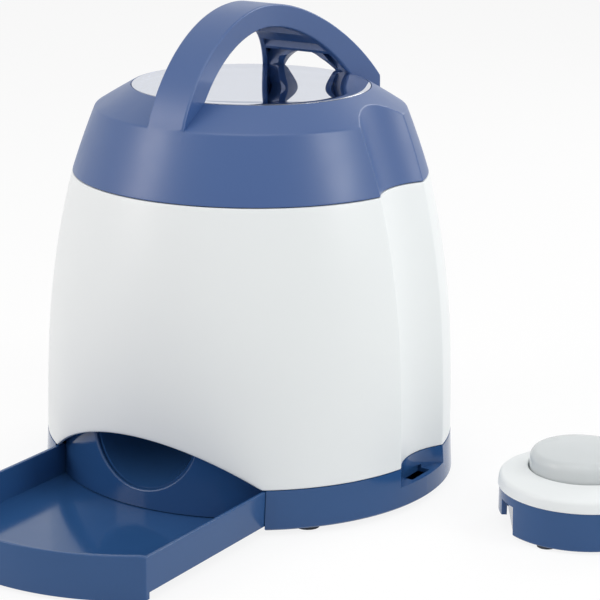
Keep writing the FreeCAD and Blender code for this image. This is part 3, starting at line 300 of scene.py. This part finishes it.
def turned(name, profile, material):
    """Closed outline of (radius, height) turned about Z."""
    rows = []
    for step in range(TURN_STEPS):
        angle = TAU * step / TURN_STEPS
        rows.append([(r * math.cos(angle), r * math.sin(angle), z) for r, z in profile])
    return make_object(name, *grid(rows), material)


def apply_modifiers(item):
    bpy.context.view_layer.update()
    seen = item.evaluated_get(bpy.context.evaluated_depsgraph_get())
    mesh = bpy.data.meshes.new_from_object(seen)
    item.modifiers.clear()
    item.data = mesh


def combine(target, tool, operation):
    """Cut, join or trim a piece with another, which is used up."""
    change = target.modifiers.new("combine", "BOOLEAN")
    change.operation = operation
    change.solver = "EXACT"
    change.object = tool
    apply_modifiers(target)
    bpy.data.objects.remove(tool)


# Body and cover: walls of one outline, with the docking hollow in their right side

BODY_LOW, WAIST_Z, BODY_TOP = 22.75, 72, 156.6
BODY_LOW_RADIUS, WAIST_RADIUS, BODY_TOP_RADIUS = 103.9, 102.5, 89.5
COVER_LOW, RIDGE_Z, RIM_Z = 157, 189.2, 200
COVER_RADIUS, RIDGE_RADIUS, RIM_RADIUS = 89.4, 77.9, 59.9
LOW_BULGE, HIGH_BULGE, COVER_BULGE, SHOULDER_BULGE = 1125, 420, 420, 400
LOW_CENTRE = arc_centre((BODY_LOW_RADIUS, BODY_LOW), (WAIST_RADIUS, WAIST_Z), LOW_BULGE)
HIGH_CENTRE = arc_centre((WAIST_RADIUS, WAIST_Z), (BODY_TOP_RADIUS, BODY_TOP), HIGH_BULGE)
COVER_CENTRE = arc_centre((COVER_RADIUS, COVER_LOW), (RIDGE_RADIUS, RIDGE_Z), COVER_BULGE)
SHOULDER_CENTRE = arc_centre((RIDGE_RADIUS, RIDGE_Z), (RIM_RADIUS, RIM_Z), SHOULDER_BULGE)

SCOOP = 40.7  # radius of the docking hollow
SCOOP_BACK = 32.3  # from the body's wall out to the hollow's axis
SCOOP_TOP_X = 110  # the hollow's axis at the cover's ridge
EDGE = 1.6  # rounding between wall and hollow
SMALLEST_EDGE = 0.4
WALL = 2.5

FRONT = 1.5 * math.pi
ARCH_RADIUS, ARCH_CENTRE_Z, ARCH_HALF = 97.3, -53.2, 61
ARCH_TURN = math.asin(ARCH_HALF / BODY_LOW_RADIUS)
ARCH_PASSES = 4  # the wall leans, so the arch's height and place are worked out in turns

WALL_STEPS = (110, 56, 26)  # from the hollow round the back to the arch, over it, and back again
CORNER_STEPS = 5
HOLLOW_STEPS = 30
STEPS_ROUND = [("wall", part, k / steps)
               for part, steps in enumerate(WALL_STEPS) for k in range(steps)]
STEPS_ROUND += [("corner", -1, k / CORNER_STEPS) for k in range(CORNER_STEPS)]
STEPS_ROUND += [("hollow", 0, k / HOLLOW_STEPS) for k in range(HOLLOW_STEPS)]
STEPS_ROUND += [("corner", 1, k / CORNER_STEPS) for k in range(CORNER_STEPS)]


def wall_point(step, radius, scoop_x, scoop, edge=EDGE):
    """Point of the level outline of a round wall with the docking hollow in its right side."""
    near, far = radius - edge, scoop + edge
    x = (near ** 2 - far ** 2 + scoop_x ** 2) / (2 * scoop_x)
    y = math.sqrt(max(near ** 2 - x ** 2, 0.01))
    start = math.atan2(y, x)
    turn = math.atan2(y, scoop_x - x)
    kind, part, share = step
    if kind == "wall":
        stops = (start, FRONT - ARCH_TURN, FRONT + ARCH_TURN, TAU - start)
        angle = stops[part] + (stops[part + 1] - stops[part]) * share
        return radius * math.cos(angle), radius * math.sin(angle)
    if kind == "hollow":
        angle = math.pi + turn - 2 * turn * share
        return scoop_x + scoop * math.cos(angle), scoop * math.sin(angle)
    first = -start if part < 0 else -turn
    angle = first + (start + turn) * share
    return x + edge * math.cos(angle), part * y + edge * math.sin(angle)


def body_radius(z):
    centre, bulge = (LOW_CENTRE, LOW_BULGE) if z < WAIST_Z else (HIGH_CENTRE, HIGH_BULGE)
    return centre.x + math.sqrt(bulge ** 2 - (z - centre.y) ** 2)


def cover_radius(z):
    return COVER_CENTRE.x + math.sqrt(COVER_BULGE ** 2 - (z - COVER_CENTRE.y) ** 2)


def cover_scoop_x(z):
    low = BODY_TOP_RADIUS + SCOOP_BACK
    return low + (SCOOP_TOP_X - low) * (z - BODY_TOP) / (RIDGE_Z - BODY_TOP)


def shoulder_height(radius):
    reach = radius - SHOULDER_CENTRE.x
    return SHOULDER_CENTRE.y + math.sqrt(SHOULDER_BULGE ** 2 - reach ** 2)


SHELL_OUTER_STEPS, SHELL_INNER_STEPS = 44, 18
SHELF_TOP, SHELF_LOW = 148, 145.6
SHELF_DEPTH, SHELF_DEPTH_IN_HOLLOW = 6.4, 3.2  # from the outer face inward
SHELL_FOOT_ROUND, SHELL_RIM_ROUND = 0.9, 0.6


def make_shell():
    """White body: a thin bulged wall with the arch over the tray, the hollow and an inner shelf."""
    rows = []
    rim = SHELL_OUTER_STEPS
    for step in STEPS_ROUND:
        low = BODY_LOW
        if step[0] == "wall" and step[1] == 1:
            for _ in range(ARCH_PASSES):
                radius = body_radius(low)
                x = wall_point(step, radius, radius + SCOOP_BACK, SCOOP)[0]
                low = max(BODY_LOW, math.sqrt(ARCH_RADIUS ** 2 - x ** 2) + ARCH_CENTRE_Z)
        shelf = SHELF_DEPTH if step[0] == "wall" else SHELF_DEPTH_IN_HOLLOW
        heights = [(low + (BODY_TOP - low) * k / rim, 0) for k in range(rim + 1)]
        heights += [(BODY_TOP, WALL), (SHELF_TOP, WALL), (SHELF_TOP, shelf), (SHELF_LOW, shelf)]
        heights += [(SHELF_LOW + (low - SHELF_LOW) * k / SHELL_INNER_STEPS, WALL)
                    for k in range(SHELL_INNER_STEPS + 1)]
        line = []
        for z, inward in heights:
            radius = body_radius(z)
            edge = max(EDGE - inward, SMALLEST_EDGE)
            scoop = SCOOP + inward
            line.append((*wall_point(step, radius - inward, radius + SCOOP_BACK, scoop, edge), z))
        rows.append(soften(line, {0: SHELL_FOOT_ROUND, rim: SHELL_RIM_ROUND,
                                  rim + 1: SHELL_RIM_ROUND, len(line) - 1: SHELL_FOOT_ROUND}))
    shell = make_object("shell", *grid(rows), MATERIALS["white_plastic"])
    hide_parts("body_shell")
    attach(shell, "dispenser")


COVER_UP_STEPS, SHOULDER_STEPS = 22, 10
RIDGE_PASSES = 20  # halvings that find the height at which wall and shoulder meet
SKIRT_RADIUS = 83  # what lies further out than this below the wall is the skirt
SKIRT_GROWTH = 3.1  # how much wider the hollow is in the skirt
INNER_EDGE = 0.6  # rounding between the cover's inside and the hollow
HOLLOW_REACH = 0.5  # a level of the inside goes round the hollow if it would reach this far in
COVER_INSIDE = [
    (59.9, 198.2), (56.2, 198.2), (56.2, 196.2),  # seat of the window
    (60.9, 196.2), (75.4, 186.7), (81, 173), (85.9, 160),  # under the shoulder and down the wall
    (83.9, 160), (83.9, 151.2), (86.2, 151.2),  # skirt that plugs into the body
    (86.2, 152), (85.2, 152), (85.2, 154.4), (86.2, 154.4), (86.2, 157)]  # groove of the seal
COVER_INSIDE_ROUNDING = {1: 0.4, 8: 0.4, 9: 0.4}  # edge of the seat and foot of the skirt
COVER_FOOT_ROUND, RIDGE_ROUND, RIM_ROUND = 0.5, 1.3, 0.5


def collar_line(step):
    """Closed outline of the cover's wall at one place round it."""
    span = [RIDGE_Z, RIM_Z - 1]
    for _ in range(RIDGE_PASSES):
        middle = sum(span) / 2
        x, y = wall_point(step, cover_radius(middle), cover_scoop_x(middle), SCOOP)
        span[0 if shoulder_height(math.hypot(x, y)) > middle else 1] = middle
    peak = span[0]
    line = []
    for k in range(COVER_UP_STEPS + 1):
        z = COVER_LOW + (peak - COVER_LOW) * k / COVER_UP_STEPS
        line.append((*wall_point(step, cover_radius(z), cover_scoop_x(z), SCOOP), z))
    x, y, _ = line[-1]
    reach, angle = math.hypot(x, y), math.atan2(y, x)
    along = Vector((math.cos(angle), math.sin(angle)))
    for k in range(1, SHOULDER_STEPS + 1):
        radius = reach + (RIM_RADIUS - reach) * k / SHOULDER_STEPS
        line.append((*(along * radius), shoulder_height(radius)))
    for radius, z in COVER_INSIDE:
        growth = SKIRT_GROWTH if radius > SKIRT_RADIUS else WALL
        scoop_x, scoop = cover_scoop_x(z), SCOOP + growth
        if radius > scoop_x - scoop + HOLLOW_REACH:
            x, y = wall_point(step, radius, scoop_x, scoop, INNER_EDGE)
        else:
            x, y = along * radius
        line.append((x, y, z))
    ridge, rim = COVER_UP_STEPS, COVER_UP_STEPS + SHOULDER_STEPS
    corners = {0: COVER_FOOT_ROUND, ridge: RIDGE_ROUND, rim: RIM_ROUND}
    corners.update({rim + 1 + place: cut for place, cut in COVER_INSIDE_ROUNDING.items()})
    return soften(line, corners)


# Handle: two side circles with flanks that flare out to two rear legs, hollow at the back

HANDLE, HANDLE_Y, HANDLE_Z = 82.4, -2.1, 157.7
GRIP, GRIP_Z = 68.8, 159.9
HANDLE_HALF, FLARE, FLARE_Y = 10.2, 143.3, -11.8
HANDLE_END, HANDLE_TOP = 84, 240.2
HANDLE_ROOT_Z, HANDLE_FLUSH_Z = 184, 193  # below the second, its front follows the cover's wall
HANDLE_STEPS = 96
HANDLE_ROUND = 1.2
HANDLE_TURN = Matrix.Rotation(math.radians(1.2), 4, "Z")
CHANNEL = 3  # wall left round the hollow
HOLLOW_FRONT, HOLLOW_ROOT_Z = -26, 178
HOLLOW_OPEN = 60  # a side circle under the grip's, so that the hollow is open below
RIBS, RIB_PITCH, RIB_THICK, RIB_FRONT = 3, 7.25, 1.6, 28.5
RIB_HALF, RIB_LOW = 60, 175  # past the hollow on all sides
GAP_HALF, GAP_BULGE, GAP_FRONT = 15.4, 17.1, 44  # passage between the rear legs
GAP_WALL, GAP_WALL_FRONT = 2.6, 52
MOUTH_HALF, MOUTH_BULGE, MOUTH_FRONT = 24.5, 28.4, 59  # the passage's wider end at the back
MOUTH_WALL_FRONT = 56
ARCHWAY_LOW, ARCHWAY_STEPS = 175, 28
SKIN = 0.1  # how far the handle's trim stands off the cover
ENVELOPE_STEPS = 8
COVER_SPACE = [(0, 150), (88, 157), (76.7, 188.2), (71.7, 191.5), (64, 196.2), (59.9, 198.8),
               (59.9, 200.1), (49.8, 209.5), (0, 209.5)]  # the handle's roots stay out of this


def handle_half(y, inward=0):
    """Half width of the handle, narrow in front and flaring out to its rear legs."""
    if y <= FLARE_Y:
        return HANDLE_HALF - inward
    return HANDLE_HALF + FLARE - math.sqrt((FLARE + inward) ** 2 - (y - FLARE_Y) ** 2)


def hoop(radius, z, first, last, steps):
    """Points (y, z) of a side circle between two angles from its rearmost point, in radians."""
    angles = [first + (last - first) * k / steps for k in range(steps + 1)]
    return [(HANDLE_Y + radius * math.cos(angle), z + radius * math.sin(angle)) for angle in angles]


def angle_at(radius, z, height):
    """Angle at which the rear half of a side circle passes a height."""
    return math.asin((height - z) / radius)


def band(name, outer, inner, inward, edge, material):
    """Solid between two side outlines of equal length, with its flanks moved inward and its long
    edges rounded."""
    rows = []
    for (outer_y, outer_z), (inner_y, inner_z) in zip(outer, inner):
        wide, narrow = handle_half(outer_y, inward), handle_half(inner_y, inward)
        section = [(-narrow, inner_y, inner_z), (narrow, inner_y, inner_z),
                   (wide, outer_y, outer_z), (-wide, outer_y, outer_z)]
        rows.append(soften(section, dict.fromkeys(range(4), edge)) if edge else section)
    return make_object(name, *grid(rows, ring=False), material)


def archway(half, bulge, growth, front, material):
    """Filler of a round-topped passage from the front plane out through the back of the handle."""
    wide = half + growth
    foot = RIM_Z - math.sqrt(bulge ** 2 - half ** 2) + math.sqrt((bulge + growth) ** 2 - wide ** 2)
    top = bow((wide, foot), (-wide, foot), bulge + growth, ARCHWAY_STEPS)
    outline = [(-wide, ARCHWAY_LOW), (wide, ARCHWAY_LOW)] + top
    rows = [[(x, y, z) for x, z in outline] for y in (front, HANDLE_END)]
    return make_object("archway", *grid(rows, ring=False), material)


def handle_hollow(material):
    """Filler of the hollow under the handle's back, with room left for ribs and passage walls."""
    outer = HANDLE - CHANNEL
    front = math.acos((HOLLOW_FRONT - HANDLE_Y) / outer)
    roof = hoop(outer, HANDLE_Z, angle_at(outer, HANDLE_Z, HOLLOW_ROOT_Z), front, HANDLE_STEPS)
    front = math.acos((HOLLOW_FRONT - HANDLE_Y) / HOLLOW_OPEN)
    root = angle_at(HOLLOW_OPEN, GRIP_Z, HOLLOW_ROOT_Z)
    opening = hoop(HOLLOW_OPEN, GRIP_Z, root, front, HANDLE_STEPS)
    hollow = band("hollow", roof, opening, CHANNEL, 0, material)
    for place in range(RIBS):
        front = RIB_FRONT + RIB_PITCH * place
        back = front + RIB_THICK
        section = [(front, RIB_LOW), (back, RIB_LOW), (back, HANDLE_TOP), (front, HANDLE_TOP)]
        rows = [[(x, y, z) for y, z in section] for x in (-RIB_HALF, RIB_HALF)]
        combine(hollow, make_object("rib", *grid(rows, ring=False), material), "DIFFERENCE")
    gap_wall = archway(GAP_HALF, GAP_BULGE, GAP_WALL, GAP_WALL_FRONT, material)
    combine(hollow, gap_wall, "DIFFERENCE")
    mouth_wall = archway(MOUTH_HALF, MOUTH_BULGE, CHANNEL, MOUTH_WALL_FRONT, material)
    combine(hollow, mouth_wall, "DIFFERENCE")
    return hollow


def make_handle(material):
    """Handle with its hollow and the passage between its legs, trimmed to fit the cover's wall."""
    front = math.pi - angle_at(HANDLE, HANDLE_Z, HANDLE_FLUSH_Z)
    outer = hoop(HANDLE, HANDLE_Z, angle_at(HANDLE, HANDLE_Z, HANDLE_ROOT_Z), front, HANDLE_STEPS)
    outer += [(-RIDGE_RADIUS - SKIN, RIDGE_Z), (-cover_radius(HANDLE_ROOT_Z) - SKIN, HANDLE_ROOT_Z)]
    root = angle_at(GRIP, GRIP_Z, HANDLE_ROOT_Z)
    inner = hoop(GRIP, GRIP_Z, root, math.pi - root, HANDLE_STEPS + 2)
    handle = band("handle", outer, inner, 0, HANDLE_ROUND, material)
    combine(handle, handle_hollow(material), "DIFFERENCE")
    combine(handle, archway(GAP_HALF, GAP_BULGE, 0, GAP_FRONT, material), "DIFFERENCE")
    combine(handle, archway(MOUTH_HALF, MOUTH_BULGE, 0, MOUTH_FRONT, material), "DIFFERENCE")
    handle.data.transform(HANDLE_TURN)
    heights = [COVER_LOW + (RIDGE_Z - COVER_LOW) * k / ENVELOPE_STEPS
               for k in range(ENVELOPE_STEPS + 1)]
    side = [(cover_radius(z) + SKIN, z) for z in heights]
    top = [(RIDGE_RADIUS + SKIN, HANDLE_TOP), (0, HANDLE_TOP)]
    combine(handle, turned("envelope", [(0, COVER_LOW)] + side + top, material), "INTERSECT")
    combine(handle, turned("inside", COVER_SPACE, material), "DIFFERENCE")
    return handle


def make_cover():
    """Blue collar and handle, moulded as one."""
    material = MATERIALS["blue_plastic"]
    cover = make_object("cover", *grid([collar_line(step) for step in STEPS_ROUND]), material)
    combine(cover, make_handle(material), "UNION")
    finish_mesh(cover.data)
    even = cover.modifiers.new("even_shading", "WEIGHTED_NORMAL")
    even.keep_sharp = True
    apply_modifiers(cover)
    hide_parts("collar_handle")
    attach(cover, "cover")


WINDOW_RADIUS, DISH_RADIUS = 59.6, 56
WINDOW_LOW, WINDOW_TOP = 198.25, 200.05
DISH_DEPTH, DISH_BULGE, DISH_STEPS = 3, 524.2, 20


def make_window():
    """Clear disc in the cover's rim, dished inside its flat edge."""
    line = bow((0, WINDOW_LOW - DISH_DEPTH), (DISH_RADIUS, WINDOW_LOW), DISH_BULGE, DISH_STEPS)
    line += [(WINDOW_RADIUS, WINDOW_LOW), (WINDOW_RADIUS, WINDOW_TOP)]
    line += bow((DISH_RADIUS, WINDOW_TOP), (0, WINDOW_TOP - DISH_DEPTH), -DISH_BULGE, DISH_STEPS)
    rounding = {DISH_STEPS + 1: 0.2, DISH_STEPS + 2: 0.5}
    pane = turned("window_pane", soften(line, rounding), MATERIALS["clear_plastic"])
    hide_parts("window")
    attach(pane, "cover")


# Tray, pulled out

TRAY_HALF, TRAY_INNER = 62.2, 60.2
TRAY_CENTRE_Y = -96
TRAY_FRONT_RADIUS, TRAY_FRONT_INNER, TRAY_FLOOR_RADIUS = 105.4, 102.9, 104
TRAY_FRONT_LOW, TRAY_FRONT_TOP = 1.6, 22.9
TRAY_CORNER_DROP, TRAY_CORNER_WIDE = 0.8, 3  # the front's top comes down to the sides at its ends
TRAY_FRONT_STEPS, TRAY_END_ROUND = 72, 0.35
TRAY_FRONT_ROUNDING = {0: 0.35, 1: 0.35, 2: 0.45, 3: 0.55}
SIDE_ENDS = ((-180.5, 0), (-60.3, 0), (-60, 0.3))  # place, and how much the side has shrunk there
SIDE_LOW, SIDE_TOP = 4.9, 22.1
SIDE_ROUNDING = {1: 0.35, 2: 0.5, 3: 0.45}
RUNNER_INNER, RUNNER_OUTER, RUNNER_LOW, RUNNER_TOP = 61.2, 64.6, 9.9, 12.1
RUNNER_ENDS = (-78, -60.2)
FLOOR_HALF, FLOOR_LOW, FLOOR_TOP, FLOOR_REAR = 61.2, 4.9, 6.4, -60.1


def tray_front(radius, x):
    return TRAY_CENTRE_Y - math.sqrt(radius ** 2 - x ** 2)


def make_tray():
    """Flat floor, two straight sides with runners, and a bowed front that hangs lower."""
    material = MATERIALS["deep_blue_plastic"]
    steps, ends = TRAY_FRONT_STEPS, TRAY_END_ROUND
    limit = 1 - ends / TRAY_HALF
    rows = []
    for k in range(-1, steps + 2):
        x, shrink = TRAY_HALF * min(max(2 * k / steps - 1, -limit), limit), 0
        if k in (-1, steps + 1):
            x, shrink = math.copysign(TRAY_HALF, x), ends
        outer = tray_front(TRAY_FRONT_RADIUS, x) + shrink
        inner = tray_front(TRAY_FRONT_INNER, x) - shrink
        low = TRAY_FRONT_LOW + shrink
        corner = min(max((abs(x) - TRAY_HALF + TRAY_CORNER_WIDE) / TRAY_CORNER_WIDE, 0), 1)
        top = TRAY_FRONT_TOP - TRAY_CORNER_DROP * corner - shrink
        rows.append(soften([(x, outer, low), (x, inner, low), (x, inner, top), (x, outer, top)],
                           TRAY_FRONT_ROUNDING))
    tray = make_object("tray", *grid(rows, ring=False), material)
    for side in (-1, 1):
        rows = []
        for y, shrink in SIDE_ENDS:
            inner, outer = side * (TRAY_INNER + shrink), side * (TRAY_HALF - shrink)
            low, top = SIDE_LOW + shrink, SIDE_TOP - shrink
            rows.append(soften([(inner, y, low), (outer, y, low), (outer, y, top), (inner, y, top)],
                               SIDE_ROUNDING))
        combine(tray, make_object("side", *grid(rows, ring=False), material), "UNION")
        section = [(side * x, z) for x, z in (
            (RUNNER_INNER, RUNNER_LOW), (RUNNER_OUTER, RUNNER_LOW),
            (RUNNER_OUTER, RUNNER_TOP), (RUNNER_INNER, RUNNER_TOP))]
        runner = [[(x, y, z) for x, z in section] for y in RUNNER_ENDS]
        combine(tray, make_object("runner", *grid(runner, ring=False), material), "UNION")
    outline = [(FLOOR_HALF, FLOOR_REAR), (-FLOOR_HALF, FLOOR_REAR)]
    outline += [(x, tray_front(TRAY_FLOOR_RADIUS, x))
                for x in (FLOOR_HALF * (2 * k / steps - 1) for k in range(steps + 1))]
    floor = [[(x, y, z) for x, y in outline] for z in (FLOOR_LOW, FLOOR_TOP)]
    combine(tray, make_object("tray_floor", *grid(floor, ring=False), material), "UNION")
    finish_mesh(tray.data)
    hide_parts("feed_tray")
    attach(tray, "tray")


# Button unit, on the floor to the right

UNIT_PLACE = (Matrix.Translation(Vector((182.4, 11.9, 0)) * MM)
              @ Matrix.Rotation(math.radians(30), 4, "Z"))
RING_OUTLINE = [(37, 20.6), (40.1, 20.6), (39.6, 25.2), (38.6, 26.5), (26.5, 30.3), (25.9, 29.9),
                (25.9, 27.6), (37, 24.4)]
RING_ROUNDING = {1: 0.4, 2: 1.0, 3: 1.0, 4: 0.4}
DOME_RADIUS, DOME_SHOULDER_Z, DOME_SHOULDER_BULGE = 25.2, 34.6, 4.5
DOME_TURN_RADIUS, DOME_TURN_Z, DOME_TOP = 21.48, 39.03, 40.9
DOME_FLANGE_RADIUS, DOME_FLANGE_LOW, DOME_FLANGE_TOP = 27.8, 24.9, 26.7
DOME_SKIN = 1.8
DOME_SHOULDER_STEPS, DOME_CROWN_STEPS = 8, 16


def make_unit_tops():
    """White ring and frosted dome of the paw button."""
    ring = turned("unit_ring", soften(RING_OUTLINE, RING_ROUNDING), MATERIALS["white_plastic"])
    shoulder = bow((DOME_RADIUS, DOME_SHOULDER_Z), (DOME_TURN_RADIUS, DOME_TURN_Z),
                   DOME_SHOULDER_BULGE, DOME_SHOULDER_STEPS)
    height = DOME_TOP - DOME_TURN_Z
    crown = bow((DOME_TURN_RADIUS, DOME_TURN_Z), (0, DOME_TOP),
                (DOME_TURN_RADIUS ** 2 + height ** 2) / (2 * height), DOME_CROWN_STEPS)
    outer = [(DOME_FLANGE_RADIUS, DOME_FLANGE_LOW), (DOME_FLANGE_RADIUS, DOME_FLANGE_TOP),
             (DOME_RADIUS, DOME_FLANGE_TOP)] + shoulder + crown[1:]
    inner = [(max(r - DOME_SKIN, 0), z - DOME_SKIN) for r, z in (shoulder + crown[1:])][::-1]
    inner += [(DOME_RADIUS - DOME_SKIN, DOME_FLANGE_LOW)]
    dome = turned("paw_dome", outer + inner, MATERIALS["frosted_plastic"])
    for item, node, body in ((ring, "button_ring", "button_unit"), (dome, "paw_button", "button")):
        item.data.transform(UNIT_PLACE)
        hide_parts(node)
        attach(item, body)


make_shell()
make_cover()
make_window()
make_tray()
make_unit_tops()


# Studio

FLOOR_REACH = 6  # metres, as all sizes of the studio are
FLOOR_WHITE_SHARE = 0.84  # the rest is paint, which takes the shadow
FLOOR_PAINT, FLOOR_GLOW = (0.9, 0.9, 0.9, 1), 1.02
WHITE = (1, 1, 1, 1)
WORLD_LEVEL = 0.46
LAMPS_LOOK_AT = Vector((0.02, -0.02, 0.1))


def white_rays(tree):
    """1 for the rays that see a plain white studio: from the camera, a mirror or through glass."""
    path = add(tree, "ShaderNodeLightPath").outputs
    seen = path["Is Camera Ray"]
    for kind in ("Is Glossy Ray", "Is Transmission Ray"):
        either = add(tree, "ShaderNodeMath", {0: seen, 1: path[kind]}, {"operation": "MAXIMUM"})
        seen = either.outputs[0]
    return seen


def make_floor():
    """Pale floor: the camera and mirrors see it almost white, and it keeps a soft shadow."""
    mesh = bpy.data.meshes.new("floor")
    corners = [(x, y, 0) for x, y in (
        (-FLOOR_REACH, -FLOOR_REACH), (FLOOR_REACH, -FLOOR_REACH),
        (FLOOR_REACH, FLOOR_REACH), (-FLOOR_REACH, FLOOR_REACH))]
    mesh.from_pydata(corners, [], [(0, 1, 2, 3)])
    floor = bpy.data.objects.new("floor", mesh)
    scene.collection.objects.link(floor)
    material = new_material("white_sweep")
    tree = material.node_tree
    share = add(tree, "ShaderNodeMath", {0: white_rays(tree), 1: FLOOR_WHITE_SHARE},
                {"operation": "MULTIPLY"})
    paint = add(tree, "ShaderNodeBsdfDiffuse", {"Color": FLOOR_PAINT})
    white = add(tree, "ShaderNodeEmission", {"Color": WHITE, "Strength": FLOOR_GLOW})
    mix = add(tree, "ShaderNodeMixShader", {
        0: share.outputs[0], 1: paint.outputs[0], 2: white.outputs[0]})
    add(tree, "ShaderNodeOutputMaterial", {"Surface": mix.outputs["Shader"]})
    mesh.materials.append(material)


def make_world():
    """White where it is seen, and a lower even light on the object."""
    world = bpy.data.worlds.new("studio")
    scene.world = world
    world.use_nodes = True
    tree = world.node_tree
    tree.nodes.clear()
    strength = add(tree, "ShaderNodeMapRange", {
        "Value": white_rays(tree), "To Min": WORLD_LEVEL, "To Max": 1.0})
    back = add(tree, "ShaderNodeBackground", {
        "Color": WHITE, "Strength": strength.outputs["Result"]})
    add(tree, "ShaderNodeOutputWorld", {"Surface": back.outputs[0]})


def lamp(name, azimuth, distance, height, panel, power, tint="FFFFFF"):
    """Softbox that looks at the middle of the object. Azimuth is degrees from +X, metres, watts."""
    light = bpy.data.lights.new(name, "AREA")
    light.shape = "RECTANGLE"
    light.size, light.size_y = panel
    light.energy = power
    light.color = linear(tint)[:3]
    item = bpy.data.objects.new(name, light)
    turn = math.radians(azimuth)
    item.location = (distance * math.cos(turn), distance * math.sin(turn), height)
    aim = LAMPS_LOOK_AT - item.location
    item.rotation_euler = aim.to_track_quat("-Z", "Y").to_euler()
    scene.collection.objects.link(item)


make_floor()
make_world()
lamp("right_softbox", 4, 1.2, 0.75, (0.4, 0.8), 5.2)
lamp("left_softbox", -130, 1.3, 0.7, (0.5, 0.9), 5.5, "FFF8F6")
lamp("rear_softbox", 70, 1.2, 0.8, (0.6, 0.6), 4)
lamp("top_softbox", -70, 0.5, 1.5, (1.2, 1.2), 5)
